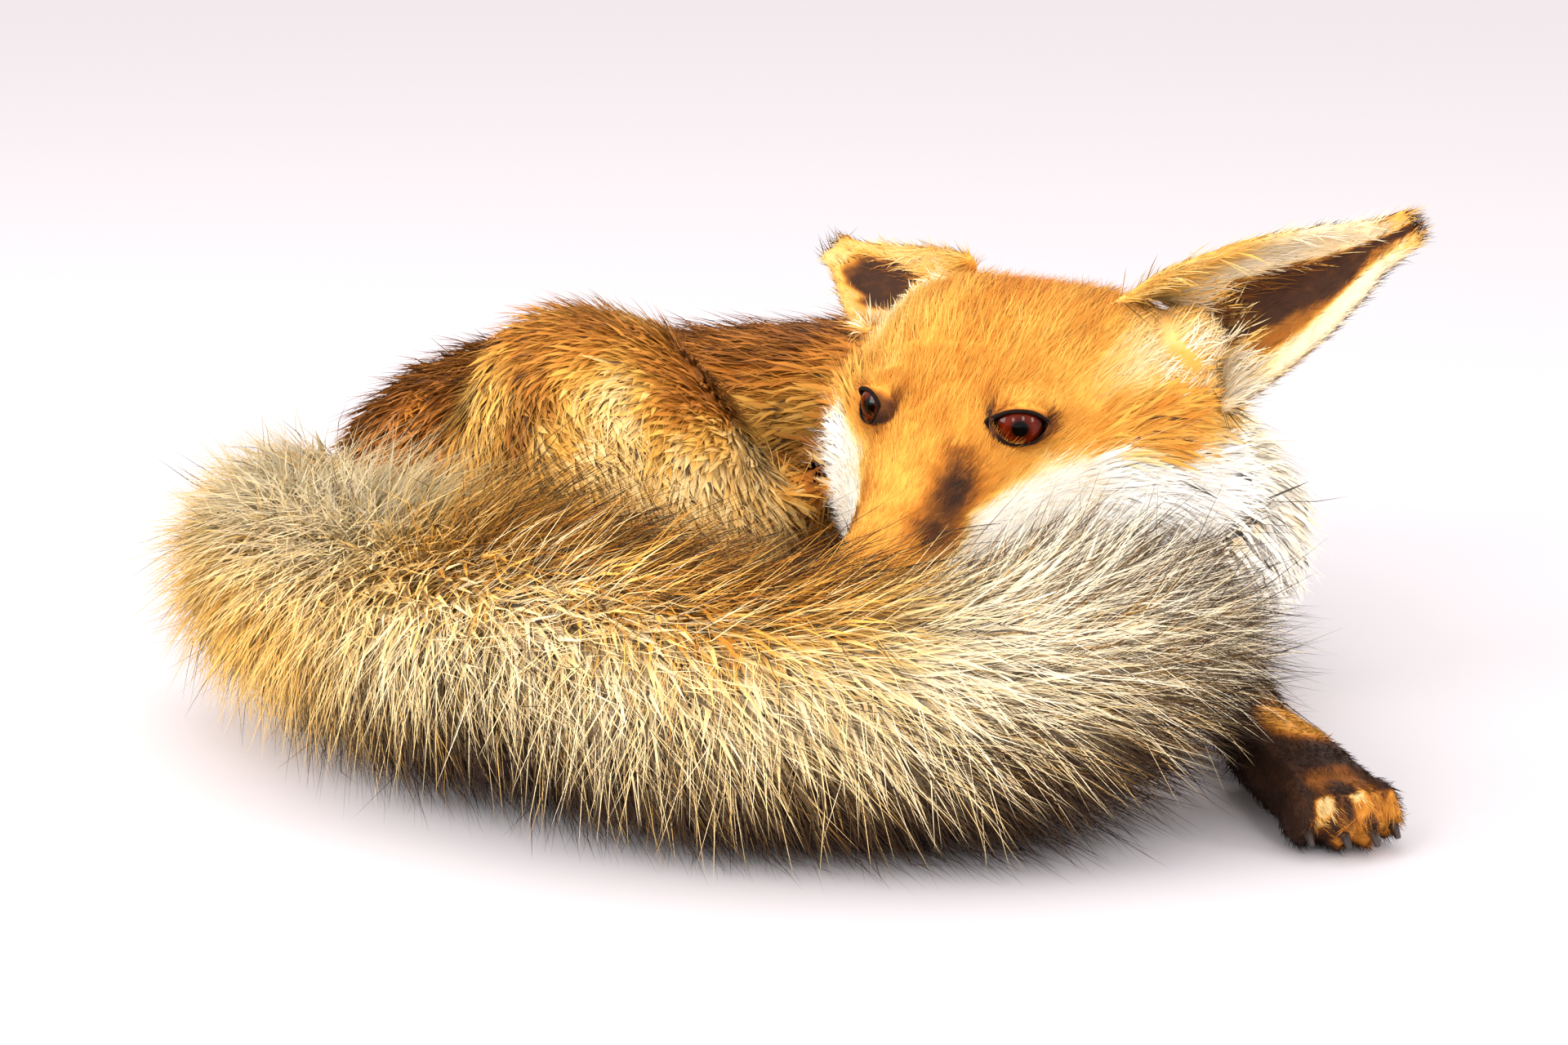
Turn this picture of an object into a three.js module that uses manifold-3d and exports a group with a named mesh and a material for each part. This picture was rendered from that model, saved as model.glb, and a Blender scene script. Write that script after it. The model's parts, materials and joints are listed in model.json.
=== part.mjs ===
// A mounted red fox, curled up at rest on its left side, with its head raised a little and turned outwards
// and its brush laid round the open side of the curl.
// Millimetres, +Z up. The origin is the middle of the model's footprint, on the floor.
// Every solid is the outer shape of the coat. Angles round the curl are in degrees, anticlockwise from +X.

import * as THREE from 'three';
import { mergeVertices } from 'three/addons/utils/BufferGeometryUtils.js';
import Module from 'manifold-3d';

const wasm = await Module();
wasm.setup();

// ---- Driving dimensions -------------------------------------------------------------------------------

const GAP = 0.35; // clearance between pieces that touch
const FLOOR_SLAB = 600; // size of the block that levels the underside

const EYE_MID = new THREE.Vector3(45.6, -58, 101.2); // point midway between the eyes
const HEAD_YAW = 31; // how far the muzzle turns from -Y towards -X
const HEAD_PITCH = 14; // how far the skull's long axis dips
const HEAD_ROLL = 1.8; // how far the head leans to its own left
const EYE_RADIUS = 8;
const EYE_OUT = 21.7; // half the distance between the eyeballs' centres
const EYE_BACK = 7.3; // eyeballs' centres behind the point midway between the eyes
const EYE_DROP = 2.2; // and below it

const EAR_THICK = 3.6;
const EAR_ROOT_SHARE = 0.12; // share of an ear's length that is buried below its root
const CLAW_LENGTH = 7.5;
const CLAW_RADIUS = 1.7;
const TOE_COUNT = 4;
const OUTER_TOE_REACH = 0.93; // how far the outer toes reach, as a share of the inner ones' reach
const TOE_FAN = 0.16; // how far the outer toes turn outwards, in radians

const BODY_SIDES = 15; // facets round the trunk and the tail
const BODY_STEPS = 5; // rings along each length of the trunk
const TAIL_STEPS = 4;
const TAIL_PIECES = 5;
const HEAD_SIDES = 14;
const HEAD_STEPS = 14;

// ---- Solids -------------------------------------------------------------------------------------------

const solids = new Map(); // name -> { solid, material }

function solidFrom(geometry) {
  const bare = new THREE.BufferGeometry();
  bare.setAttribute('position', geometry.getAttribute('position').clone());
  if (geometry.index) bare.setIndex(geometry.index.clone());
  const merged = mergeVertices(bare, 1e-3);
  return new wasm.Manifold(new wasm.Mesh({
    numProp: 3,
    vertProperties: merged.attributes.position.array,
    triVerts: new Uint32Array(merged.index.array),
  }));
}

function geometryFrom(solid) {
  const mesh = solid.getMesh();
  const position = new Float32Array(mesh.numVert * 3);
  for (let i = 0; i < mesh.numVert; i++) {
    const start = i * mesh.numProp;
    position.set(mesh.vertProperties.subarray(start, start + 3), i * 3);
  }
  const geometry = new THREE.BufferGeometry();
  geometry.setAttribute('position', new THREE.BufferAttribute(position, 3));
  geometry.setIndex(new THREE.BufferAttribute(new Uint32Array(mesh.triVerts), 1));
  geometry.computeVertexNormals();
  return geometry;
}

// The same solid with its surface moved out by the clearance, to cut its neighbours with.
function swollen(solid) {
  const geometry = geometryFrom(solid);
  const position = geometry.getAttribute('position');
  const normal = geometry.getAttribute('normal');
  for (let i = 0; i < position.count; i++) {
    position.setXYZ(
      i,
      position.getX(i) + normal.getX(i) * GAP,
      position.getY(i) + normal.getY(i) * GAP,
      position.getZ(i) + normal.getZ(i) * GAP,
    );
  }
  return solidFrom(geometry);
}

function largestPiece(solid) {
  const pieces = solid.decompose();
  return pieces.reduce((best, piece) => (piece.volume() > best.volume() ? piece : best));
}

function joined(parts) {
  return parts.reduce((whole, part) => whole.add(part));
}

// ---- Lofts --------------------------------------------------------------------------------------------

// A closed surface through rings of equally many points, with a fan on each end.
function loftRings(rings) {
  const perRing = rings[0].length;
  const position = rings.flat().flatMap((p) => [p.x, p.y, p.z]);
  const index = [];
  for (let r = 0; r + 1 < rings.length; r++) {
    for (let k = 0; k < perRing; k++) {
      const a = r * perRing + k;
      const b = r * perRing + ((k + 1) % perRing);
      index.push(a, b, b + perRing, a, b + perRing, a + perRing);
    }
  }
  for (const [ring, firstVertex, flip] of [
    [rings[0], 0, true],
    [rings[rings.length - 1], (rings.length - 1) * perRing, false],
  ]) {
    const middle = new THREE.Vector3();
    ring.forEach((p) => middle.addScaledVector(p, 1 / perRing));
    const hub = position.length / 3;
    position.push(middle.x, middle.y, middle.z);
    for (let k = 0; k < perRing; k++) {
      const a = firstVertex + k;
      const b = firstVertex + ((k + 1) % perRing);
      if (flip) index.push(hub, b, a);
      else index.push(hub, a, b);
    }
  }
  const geometry = new THREE.BufferGeometry();
  geometry.setAttribute('position', new THREE.Float32BufferAttribute(position, 3));
  geometry.setIndex(index);
  return geometry;
}

// A limb or a length of the body: stations give its middle, half its width and half its height.
// It covers the path from share `from` to share `to`, less half the clearance where it is parted from the next
// length, and each end is flat or rounded over the stated distance.
function limb(stations, options = {}) {
  const { steps = 6, sides = 12, from = 0, to = 1, roundStart = 0, roundEnd = 0, square = 2.3 } = options;
  const path = new THREE.CatmullRomCurve3(stations.map((s) => s.at), false, 'centripetal');
  const sizes = new THREE.CatmullRomCurve3(
    stations.map((s, i) => new THREE.Vector3(s.wide, s.high, i * 10)),
  );
  const length = path.getLength();
  const start = from + (from > 0 ? GAP / 2 / length : 0);
  const end = to - (to < 1 ? GAP / 2 / length : 0);
  const run = (end - start) * length;
  const rings = [];
  for (let i = 0; i <= steps; i++) {
    // Rings crowd towards a rounded end.
    let share = i / steps;
    if (roundStart && roundEnd) share = 0.5 - 0.5 * Math.cos(Math.PI * share);
    else if (roundEnd) share = Math.sin((Math.PI / 2) * share);
    else if (roundStart) share = 1 - Math.cos((Math.PI / 2) * share);
    const u = path.getUtoTmapping(start + (end - start) * share);
    const at = path.getPoint(u);
    const along = path.getTangent(u);
    const size = sizes.getPoint(u);
    const side = new THREE.Vector3(-along.y, along.x, 0).normalize();
    const up = new THREE.Vector3().crossVectors(along, side).normalize();
    const closing = Math.min(
      endShare(share * run, roundStart),
      endShare((1 - share) * run, roundEnd),
    );
    rings.push(superEllipse(sides, square).map(([cos, sin]) => at.clone()
      .addScaledVector(side, cos * size.x * closing)
      .addScaledVector(up, sin * size.y * closing)));
  }
  return solidFrom(loftRings(rings));
}

const BLUNT_END = 0.12; // width of a rounded end's last ring, as a share of the full width

// How wide a rounded end is at this distance from its tip, as a share of the full width.
function endShare(distance, round) {
  if (!round || distance >= round) return 1;
  return Math.max(BLUNT_END, Math.sqrt(1 - (1 - distance / round) ** 2));
}

function superEllipse(sides, power) {
  const points = [];
  for (let k = 0; k < sides; k++) {
    const angle = (k / sides) * Math.PI * 2;
    const cos = Math.cos(angle);
    const sin = Math.sin(angle);
    points.push([
      Math.sign(cos) * Math.abs(cos) ** (2 / power),
      Math.sign(sin) * Math.abs(sin) ** (2 / power),
    ]);
  }
  return points;
}

function polar(degrees, radius, height) {
  const angle = THREE.MathUtils.degToRad(degrees);
  return new THREE.Vector3(radius * Math.cos(angle), radius * Math.sin(angle), height);
}

// ---- Coat colours -------------------------------------------------------------------------------------

const coat = {
  rufous: new THREE.MeshStandardMaterial({ color: 0xc98035, roughness: 0.85, metalness: 0 }),
  grizzled: new THREE.MeshStandardMaterial({ color: 0xa87848, roughness: 0.9, metalness: 0 }),
  cream: new THREE.MeshStandardMaterial({ color: 0xe8cfa5, roughness: 0.9, metalness: 0 }),
  white: new THREE.MeshStandardMaterial({ color: 0xf3ebe0, roughness: 0.9, metalness: 0 }),
  stocking: new THREE.MeshStandardMaterial({ color: 0x2b1b12, roughness: 0.85, metalness: 0 }),
  ear: new THREE.MeshStandardMaterial({ color: 0x57402e, roughness: 0.85, metalness: 0 }),
  horn: new THREE.MeshStandardMaterial({ color: 0x3a2a1f, roughness: 0.45, metalness: 0 }),
  leather: new THREE.MeshStandardMaterial({ color: 0x15110f, roughness: 0.5, metalness: 0 }),
  glass: new THREE.MeshStandardMaterial({ color: 0x6b2206, roughness: 0.08, metalness: 0 }),
};

// ---- Head ---------------------------------------------------------------------------------------------

// The head's own frame: x forwards along the skull, y to the fox's left and z up, from the point midway
// between the eyes.
const headFrame = new THREE.Matrix4();
{
  const yaw = THREE.MathUtils.degToRad(HEAD_YAW);
  const pitch = THREE.MathUtils.degToRad(HEAD_PITCH);
  const forward = new THREE.Vector3(
    -Math.sin(yaw) * Math.cos(pitch),
    -Math.cos(yaw) * Math.cos(pitch),
    -Math.sin(pitch),
  );
  const left = new THREE.Vector3(Math.cos(yaw), -Math.sin(yaw), 0);
  left.applyAxisAngle(forward, -THREE.MathUtils.degToRad(HEAD_ROLL));
  const up = new THREE.Vector3().crossVectors(forward, left);
  headFrame.makeBasis(forward, left, up).setPosition(EYE_MID);
}

function onHead(x, y, z) {
  return new THREE.Vector3(x, y, z).applyMatrix4(headFrame);
}

// Half sections of the head, from the nose back: the crown's height, then the widths and heights of the brow,
// the cheek and the jaw, then the chin's height.
const HEAD_SECTIONS = [
  { x: 77, crown: -30, brow: [5, -31.5], cheek: [8, -37], jaw: [6, -44], chin: -46 },
  { x: 70, crown: -26, brow: [8, -28], cheek: [12.5, -37], jaw: [9, -48], chin: -51 },
  { x: 56, crown: -21.5, brow: [9.5, -24], cheek: [15.5, -37], jaw: [11, -52], chin: -55 },
  { x: 38, crown: -16, brow: [11, -19], cheek: [19, -36], jaw: [14, -55], chin: -59 },
  { x: 22, crown: -10, brow: [13, -13], cheek: [24, -33], jaw: [20, -56], chin: -61 },
  { x: 8, crown: -1, brow: [17, -5], cheek: [34, -29], jaw: [29, -56], chin: -62 },
  { x: -8, crown: 9, brow: [22, 6], cheek: [50, -25], jaw: [38, -56], chin: -62 },
  { x: -26, crown: 18, brow: [29, 14], cheek: [63, -24], jaw: [48, -56], chin: -62 },
  { x: -46, crown: 22, brow: [33, 18], cheek: [66, -22], jaw: [52, -53], chin: -60 },
  { x: -66, crown: 20, brow: [34, 16], cheek: [61, -18], jaw: [48, -45], chin: -52 },
  { x: -84, crown: 12, brow: [28, 8], cheek: [47, -15], jaw: [36, -34], chin: -40 },
  { x: -96, crown: 1, brow: [14, -2], cheek: [25, -14], jaw: [18, -23], chin: -27 },
];

function headSolid() {
  const curves = ['crown', 'brow', 'cheek', 'jaw', 'chin'].map((name) => new THREE.CatmullRomCurve3(
    HEAD_SECTIONS.map((s) => {
      const [y, z] = Array.isArray(s[name]) ? s[name] : [0, s[name]];
      return new THREE.Vector3(s.x, y, z);
    }),
    false,
    'centripetal',
  ));
  const rings = [];
  for (let i = 0; i <= HEAD_STEPS; i++) {
    const t = i / HEAD_STEPS;
    const [crown, brow, cheek, jaw, chin] = curves.map((curve) => curve.getPoint(t));
    const mirrored = (p) => new THREE.Vector3(p.x, -p.y, p.z);
    const outline = new THREE.CatmullRomCurve3(
      [crown, brow, cheek, jaw, chin, mirrored(jaw), mirrored(cheek), mirrored(brow)],
      true,
      'centripetal',
    );
    const ring = outline.getPoints(HEAD_SIDES).slice(0, HEAD_SIDES).map((p) => p.applyMatrix4(headFrame));
    rings.push(ring.reverse());
  }
  return solidFrom(loftRings(rings.reverse()));
}

function eyeSolid(side) {
  const geometry = new THREE.SphereGeometry(EYE_RADIUS, 10, 7);
  const centre = onHead(-EYE_BACK, side * EYE_OUT, -EYE_DROP);
  geometry.translate(centre.x, centre.y, centre.z);
  return solidFrom(geometry);
}

function noseSolid() {
  const geometry = new THREE.SphereGeometry(1, 10, 7);
  geometry.scale(7.5, 8.5, 7.5);
  const centre = onHead(76, 0, -34);
  geometry.applyMatrix4(new THREE.Matrix4().extractRotation(headFrame));
  geometry.translate(centre.x, centre.y, centre.z);
  return solidFrom(geometry);
}

// An ear is a cupped leaf. out, up and back say where its tip points in the head's frame, faces where its
// hollow side looks, and tipShare how blunt it is.
function earSolid(side, { root, out, up, back, faces, length, halfWidth, tipShare }) {
  const axis = new THREE.Vector3(-back, side * out, up).normalize().transformDirection(headFrame);
  const base = onHead(root[0], side * root[1], root[2]);
  const opening = new THREE.Vector3(...faces).transformDirection(headFrame);
  opening.addScaledVector(axis, -opening.dot(axis)).normalize();
  const across = new THREE.Vector3().crossVectors(axis, opening);
  const rows = 7;
  const columns = 6;
  const wall = (offset) => {
    const points = [];
    for (let r = 0; r <= rows; r++) {
      const t = r / rows;
      const swell = Math.sin(Math.PI * Math.min(1, 0.32 + t * 0.68) ** 0.8);
      const wide = halfWidth * Math.max(tipShare, swell ** 0.75);
      const spread = THREE.MathUtils.lerp(1.75, 0.75, t ** 0.7);
      const bend = wide / Math.sin(Math.min(spread, Math.PI / 2));
      for (let c = 0; c <= columns; c++) {
        const turn = (c / columns * 2 - 1) * spread;
        const radius = bend + offset;
        points.push(base.clone()
          .addScaledVector(axis, length * (t * (1 + EAR_ROOT_SHARE) - EAR_ROOT_SHARE))
          .addScaledVector(across, radius * Math.sin(turn))
          .addScaledVector(opening, bend * 0.55 - radius * Math.cos(turn)));
      }
    }
    return points;
  };
  const outer = wall(EAR_THICK / 2);
  const inner = wall(-EAR_THICK / 2);
  const count = outer.length;
  const row = columns + 1;
  const index = [];
  const quad = (a, b, c, d) => index.push(a, b, c, a, c, d);
  for (let r = 0; r < rows; r++) {
    for (let c = 0; c < columns; c++) {
      const a = r * row + c;
      quad(a, a + 1, a + row + 1, a + row);
      quad(count + a, count + a + row, count + a + row + 1, count + a + 1);
    }
  }
  for (let c = 0; c < columns; c++) {
    const last = rows * row + c;
    quad(c, count + c, count + c + 1, c + 1);
    quad(last + 1, count + last + 1, count + last, last);
  }
  for (let r = 0; r < rows; r++) {
    const low = r * row;
    const high = low + columns;
    quad(low + row, count + low + row, count + low, low);
    quad(high, count + high, count + high + row, high + row);
  }
  const geometry = new THREE.BufferGeometry();
  const position = [...outer, ...inner].flatMap((p) => [p.x, p.y, p.z]);
  geometry.setAttribute('position', new THREE.Float32BufferAttribute(position, 3));
  geometry.setIndex(index);
  const made = solidFrom(geometry);
  return made.volume() < 0 ? solidFrom(insideOut(geometry)) : made;
}

function insideOut(geometry) {
  const turned = geometry.clone();
  const index = turned.index.array;
  for (let i = 0; i < index.length; i += 3) [index[i + 1], index[i + 2]] = [index[i + 2], index[i + 1]];
  return turned;
}

// ---- Trunk, neck and tail -----------------------------------------------------------------------------

const TRUNK = [
  { at: polar(176, 118, 36), wide: 24, high: 26 },
  { at: polar(160, 118, 48), wide: 44, high: 44 },
  { at: polar(140, 120, 52), wide: 58, high: 53 },
  { at: polar(113, 126, 50), wide: 58, high: 50 },
  { at: polar(86, 132, 50), wide: 62, high: 52 },
  { at: polar(60, 130, 52), wide: 66, high: 56 },
  { at: polar(36, 122, 52), wide: 62, high: 53 },
  { at: polar(10, 121, 47), wide: 55, high: 48 },
  { at: polar(-10, 126, 40), wide: 46, high: 42 },
];
const TRUNK_CUTS = { rump: [0, 0.31], loin: [0.31, 0.6], chest: [0.6, 1] };

const NECK = [
  { at: new THREE.Vector3(127, -6, 42), wide: 42, high: 35 },
  { at: new THREE.Vector3(118, -9, 61), wide: 43, high: 38 },
  { at: new THREE.Vector3(104, -9, 79), wide: 42, high: 37 },
  { at: new THREE.Vector3(86, -7, 93), wide: 38, high: 33 },
];

const TAIL = [
  { at: polar(166, 128, 46), wide: 30, high: 32 },
  { at: polar(177, 142, 48), wide: 40, high: 43 },
  { at: polar(190, 148, 47), wide: 45, high: 46 },
  { at: polar(213, 137, 48), wide: 45, high: 44 },
  { at: polar(238, 136, 51), wide: 45, high: 43 },
  { at: polar(262, 148, 48), wide: 46, high: 44 },
  { at: polar(284, 158, 45), wide: 46, high: 46 },
  { at: polar(303, 160, 50), wide: 43, high: 43 },
  { at: polar(318, 167, 53), wide: 36, high: 38 },
];

// ---- Legs ---------------------------------------------------------------------------------------------

// Where toe k of a paw lies: its place across the paw (-1 to 1), how far it reaches, and the paw's directions.
function toePlace({ heel, toe }, k) {
  const run = new THREE.Vector3().subVectors(toe, heel);
  const forward = run.clone().normalize();
  const across = new THREE.Vector3(forward.y, -forward.x, 0).normalize();
  const place = (2 * k) / (TOE_COUNT - 1) - 1;
  const reach = k === 0 || k === TOE_COUNT - 1 ? OUTER_TOE_REACH : 1;
  return { run, forward, across, place, reach };
}

// A paw: a sole that carries four toes, from the wrist or hock end to the toe tips.
function pawSolid({ heel, toe, wide, high, toeSpread }) {
  const run = new THREE.Vector3().subVectors(toe, heel);
  const palm = limb([
    { at: heel, wide: wide * 0.78, high: high * 1.05 },
    { at: heel.clone().addScaledVector(run, 0.45), wide: wide * 0.95, high: high * 1.05 },
    { at: heel.clone().addScaledVector(run, 0.8), wide, high },
  ], { steps: 3, sides: 8, roundEnd: high });
  const toes = [];
  for (let k = 0; k < TOE_COUNT; k++) {
    const { forward, across, place, reach } = toePlace({ heel, toe }, k);
    const geometry = new THREE.SphereGeometry(1, 6, 4);
    geometry.scale(high * 1.25, wide * 0.34, high * 0.92);
    geometry.rotateZ(Math.atan2(forward.y, forward.x) - place * TOE_FAN);
    const centre = heel.clone()
      .addScaledVector(run, reach - high / run.length())
      .addScaledVector(across, place * toeSpread);
    geometry.translate(centre.x, centre.y, centre.z - high * 0.1);
    toes.push(solidFrom(geometry));
  }
  return joined([palm, ...toes]);
}

// A blunt claw that curves down from the front of toe k.
function clawSolid({ heel, toe, toeSpread }, k) {
  const { run, forward, across, place, reach } = toePlace({ heel, toe }, k);
  const base = heel.clone()
    .addScaledVector(run, reach)
    .addScaledVector(across, place * (toeSpread + CLAW_RADIUS / 2))
    .addScaledVector(forward, -CLAW_LENGTH * 0.45);
  base.z = toe.z * 0.8;
  const tip = base.clone().addScaledVector(forward, CLAW_LENGTH);
  const middle = base.clone().lerp(tip, 0.5);
  middle.z += CLAW_RADIUS / 3;
  tip.z = Math.max(CLAW_RADIUS, base.z - CLAW_RADIUS * 2);
  return limb([
    { at: base, wide: CLAW_RADIUS * 0.8, high: CLAW_RADIUS },
    { at: middle, wide: CLAW_RADIUS * 0.62, high: CLAW_RADIUS * 0.85 },
    { at: tip, wide: 0.45, high: 0.5 },
  ], { steps: 2, sides: 5, square: 2 });
}

const V = (x, y, z) => new THREE.Vector3(x, y, z);

const LEGS = {
  fore_left: {
    segments: {
      upper_arm: [
        { at: V(112, 50, 34), wide: 28, high: 28 },
        { at: V(122, 12, 28), wide: 22, high: 24 },
      ],
      forearm: [
        { at: V(122, 14, 27), wide: 20, high: 22 },
        { at: V(129, -45, 20), wide: 15, high: 17 },
        { at: V(137, -98, 14), wide: 12.5, high: 13 },
      ],
    },
    paw: { heel: V(136, -94, 14), toe: V(155, -165, 10), wide: 16.5, high: 12, toeSpread: 11.5 },
  },
  fore_right: {
    segments: {
      upper_arm: [
        { at: V(92, 40, 50), wide: 28, high: 28 },
        { at: V(82, -2, 34), wide: 20, high: 22 },
      ],
      forearm: [
        { at: V(83, 0, 32), wide: 19, high: 20 },
        { at: V(80, -45, 22), wide: 15, high: 16 },
        { at: V(70, -84, 16), wide: 13, high: 14 },
      ],
    },
    paw: { heel: V(72, -80, 17), toe: V(26, -100, 8.5), wide: 16, high: 11, toeSpread: 10.5 },
  },
  hind_right: {
    segments: {
      thigh: [
        { at: V(-86, 64, 72), wide: 38, high: 40 },
        { at: V(-64, 34, 72), wide: 47, high: 56 },
        { at: V(-33, -2, 58), wide: 37, high: 46 },
        { at: V(-2, -30, 45), wide: 25, high: 29 },
      ],
      shank: [
        { at: V(0, -38, 40), wide: 19, high: 21 },
        { at: V(-30, -34, 26), wide: 17, high: 18 },
        { at: V(-66, -12, 20), wide: 13, high: 14 },
      ],
    },
    paw: { heel: V(-62, -24, 17), toe: V(24, -70, 9), wide: 15, high: 11, toeSpread: 10 },
  },
  hind_left: {
    segments: {
      thigh: [
        { at: V(-66, 60, 34), wide: 40, high: 30 },
        { at: V(-32, 30, 28), wide: 32, high: 28 },
        { at: V(6, 8, 24), wide: 24, high: 23 },
      ],
      shank: [
        { at: V(10, 4, 22), wide: 19, high: 20 },
        { at: V(-6, -22, 18), wide: 15, high: 16 },
      ],
    },
    paw: { heel: V(-4, -20, 16), toe: V(60, -52, 9), wide: 15, high: 11, toeSpread: 10 },
  },
};

// ---- The whole animal, in the order in which pieces give way to each other ------------------------------

function put(name, solid, material) {
  solids.set(name, { solid, material });
}

put('eye_left', eyeSolid(1), coat.glass);
put('eye_right', eyeSolid(-1), coat.glass);
put('nose', noseSolid(), coat.leather);
for (const [leg, { paw }] of Object.entries(LEGS)) {
  for (let k = 0; k < TOE_COUNT; k++) put(`claw_${leg}_${k + 1}`, clawSolid(paw, k), coat.horn);
}
put('head', headSolid(), coat.rufous);
put('ear_left', earSolid(1, {
  root: [-68, 46, 0],
  out: 0.83,
  up: 0.45,
  back: 0.34,
  faces: [0.8, 0.45, 0.3],
  length: 77,
  halfWidth: 22,
  tipShare: 0.24,
}), coat.ear);
put('ear_right', earSolid(-1, {
  root: [-73, 42, -4],
  out: 0.84,
  up: 0.03,
  back: 0.57,
  faces: [0.6, 0.3, 0.6],
  length: 72,
  halfWidth: 19,
  tipShare: 0.3,
}), coat.ear);
for (const [leg, { segments, paw }] of Object.entries(LEGS)) {
  put(`paw_${leg}`, pawSolid(paw), coat.stocking);
  const last = Object.keys(segments).pop();
  const stations = segments[last];
  put(`${last}_${leg}`, limb(stations, { steps: 5, sides: 9, roundStart: 14, roundEnd: 6 }), coat.rufous);
}
for (const [leg, { segments }] of Object.entries(LEGS)) {
  const [first] = Object.keys(segments);
  const stations = segments[first];
  put(`${first}_${leg}`, limb(stations, { steps: 7, sides: 11, roundStart: 30, roundEnd: 14 }), coat.grizzled);
}
for (const [name, [from, to]] of Object.entries(TRUNK_CUTS)) {
  put(name, limb(TRUNK, {
    steps: BODY_STEPS,
    sides: BODY_SIDES,
    from,
    to,
    roundStart: from === 0 ? 20 : 0,
    roundEnd: to === 1 ? 34 : 0,
  }), coat.grizzled);
}
put('neck', limb(NECK, { steps: 4, sides: HEAD_SIDES, roundStart: 12, roundEnd: 12 }), coat.white);
for (let i = 0; i < TAIL_PIECES; i++) {
  put(`tail_${i + 1}`, limb(TAIL, {
    steps: TAIL_STEPS,
    sides: BODY_SIDES,
    from: i / TAIL_PIECES,
    to: (i + 1) / TAIL_PIECES,
    roundEnd: i === TAIL_PIECES - 1 ? 30 : 0,
  }), i < TAIL_PIECES - 1 ? coat.cream : coat.stocking);
}

// Level the underside, and cut each piece back from those before it.
const slab = new THREE.BoxGeometry(FLOOR_SLAB, FLOOR_SLAB, FLOOR_SLAB);
slab.translate(0, 0, -FLOOR_SLAB / 2);
const floor = solidFrom(slab);
const finished = [];
for (const [name, { solid, material }] of solids) {
  let kept = solid.subtract(floor);
  for (const before of finished) {
    if (kept.intersect(before.cutter).volume() > 0) kept = kept.subtract(before.cutter);
  }
  finished.push({ name, solid: largestPiece(kept), cutter: swollen(solid), material });
}

// ---- Scene graph: the footprint's middle becomes the origin ------------------------------------------------

const fox = new THREE.Group();
const placed = new THREE.Group();
for (const { name, solid, material } of finished) {
  const mesh = new THREE.Mesh(geometryFrom(solid), material);
  mesh.name = name;
  placed.add(mesh);
}
const extent = new THREE.Box3().setFromObject(placed);
const middle = extent.getCenter(new THREE.Vector3());
placed.position.set(-middle.x, -middle.y, -extent.min.z);
fox.add(placed);

export default fox;
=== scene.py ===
# %% [markdown]
# # A red fox, curled up on its side
#
# This lesson dresses a measured solid model of a mounted red fox with skin, fur, eyes and claws. The
# solids give the outline at the tips of the coat. We build the skin deeper down, at the depth that the
# coat has on each part of the animal, and then grow the coat back out to the outline.

import json
import math

import bmesh
import bpy
import numpy as np
from mathutils import Matrix, Vector
from mathutils.bvhtree import BVHTree
from mathutils.kdtree import KDTree

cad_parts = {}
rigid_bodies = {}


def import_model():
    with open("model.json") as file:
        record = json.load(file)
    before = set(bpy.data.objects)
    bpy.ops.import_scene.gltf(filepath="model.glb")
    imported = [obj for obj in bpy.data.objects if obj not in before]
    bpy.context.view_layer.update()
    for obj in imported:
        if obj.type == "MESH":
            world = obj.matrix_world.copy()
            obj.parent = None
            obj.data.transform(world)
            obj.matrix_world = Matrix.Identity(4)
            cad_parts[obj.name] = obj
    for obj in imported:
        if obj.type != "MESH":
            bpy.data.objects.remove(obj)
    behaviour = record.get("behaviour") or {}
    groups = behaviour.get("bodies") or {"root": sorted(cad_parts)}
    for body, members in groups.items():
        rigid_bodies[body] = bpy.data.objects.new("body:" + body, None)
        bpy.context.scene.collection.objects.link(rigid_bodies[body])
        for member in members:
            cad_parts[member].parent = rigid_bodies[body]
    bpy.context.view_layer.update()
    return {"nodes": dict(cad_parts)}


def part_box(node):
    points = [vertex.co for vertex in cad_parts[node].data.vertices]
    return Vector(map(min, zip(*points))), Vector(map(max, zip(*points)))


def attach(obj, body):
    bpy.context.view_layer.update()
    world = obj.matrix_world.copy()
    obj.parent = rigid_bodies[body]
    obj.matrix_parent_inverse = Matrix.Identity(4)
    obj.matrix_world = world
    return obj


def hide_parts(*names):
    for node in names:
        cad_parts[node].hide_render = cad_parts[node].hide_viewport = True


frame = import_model()
MM = 0.001
print("nodes in the frame:", len(frame["nodes"]))

# %% [markdown]
# ## Small helpers
#
# Fur means a great many points, so we keep them in arrays and write the arithmetic once. `ease` is the
# usual soft step between two values, `wobble` is a smooth random value that changes slowly over the
# body, and `color` turns the everyday 0 to 255 numbers into the linear ones that a shader wants.

# %% Helpers for arrays
def unit(v):
    return v / np.maximum(np.linalg.norm(v, axis=-1, keepdims=True), 1e-12)


def ease(start, end, value):
    t = np.clip((value - start) / (end - start), 0.0, 1.0)
    return t * t * (3.0 - 2.0 * t)


def mix(a, b, share):
    return a + (b - a) * share


WAVES = 8
FULL_TURN = 6.283


def wobble(points, size, seed):
    rng = np.random.default_rng(seed)
    total = np.zeros(len(points))
    for _ in range(WAVES):
        direction = unit(rng.normal(size=3))
        rate = 2.0 * math.pi / size * rng.uniform(0.6, 1.7)
        total += np.sin(points @ direction * rate + rng.uniform(0.0, FULL_TURN))
    return total / (WAVES / 2)


def color(red, green, blue):
    def linear(c):
        c = c / 255.0
        return c / 12.92 if c <= 0.04045 else ((c + 0.055) / 1.055) ** 2.4

    return (linear(red), linear(green), linear(blue), 1.0)


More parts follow.
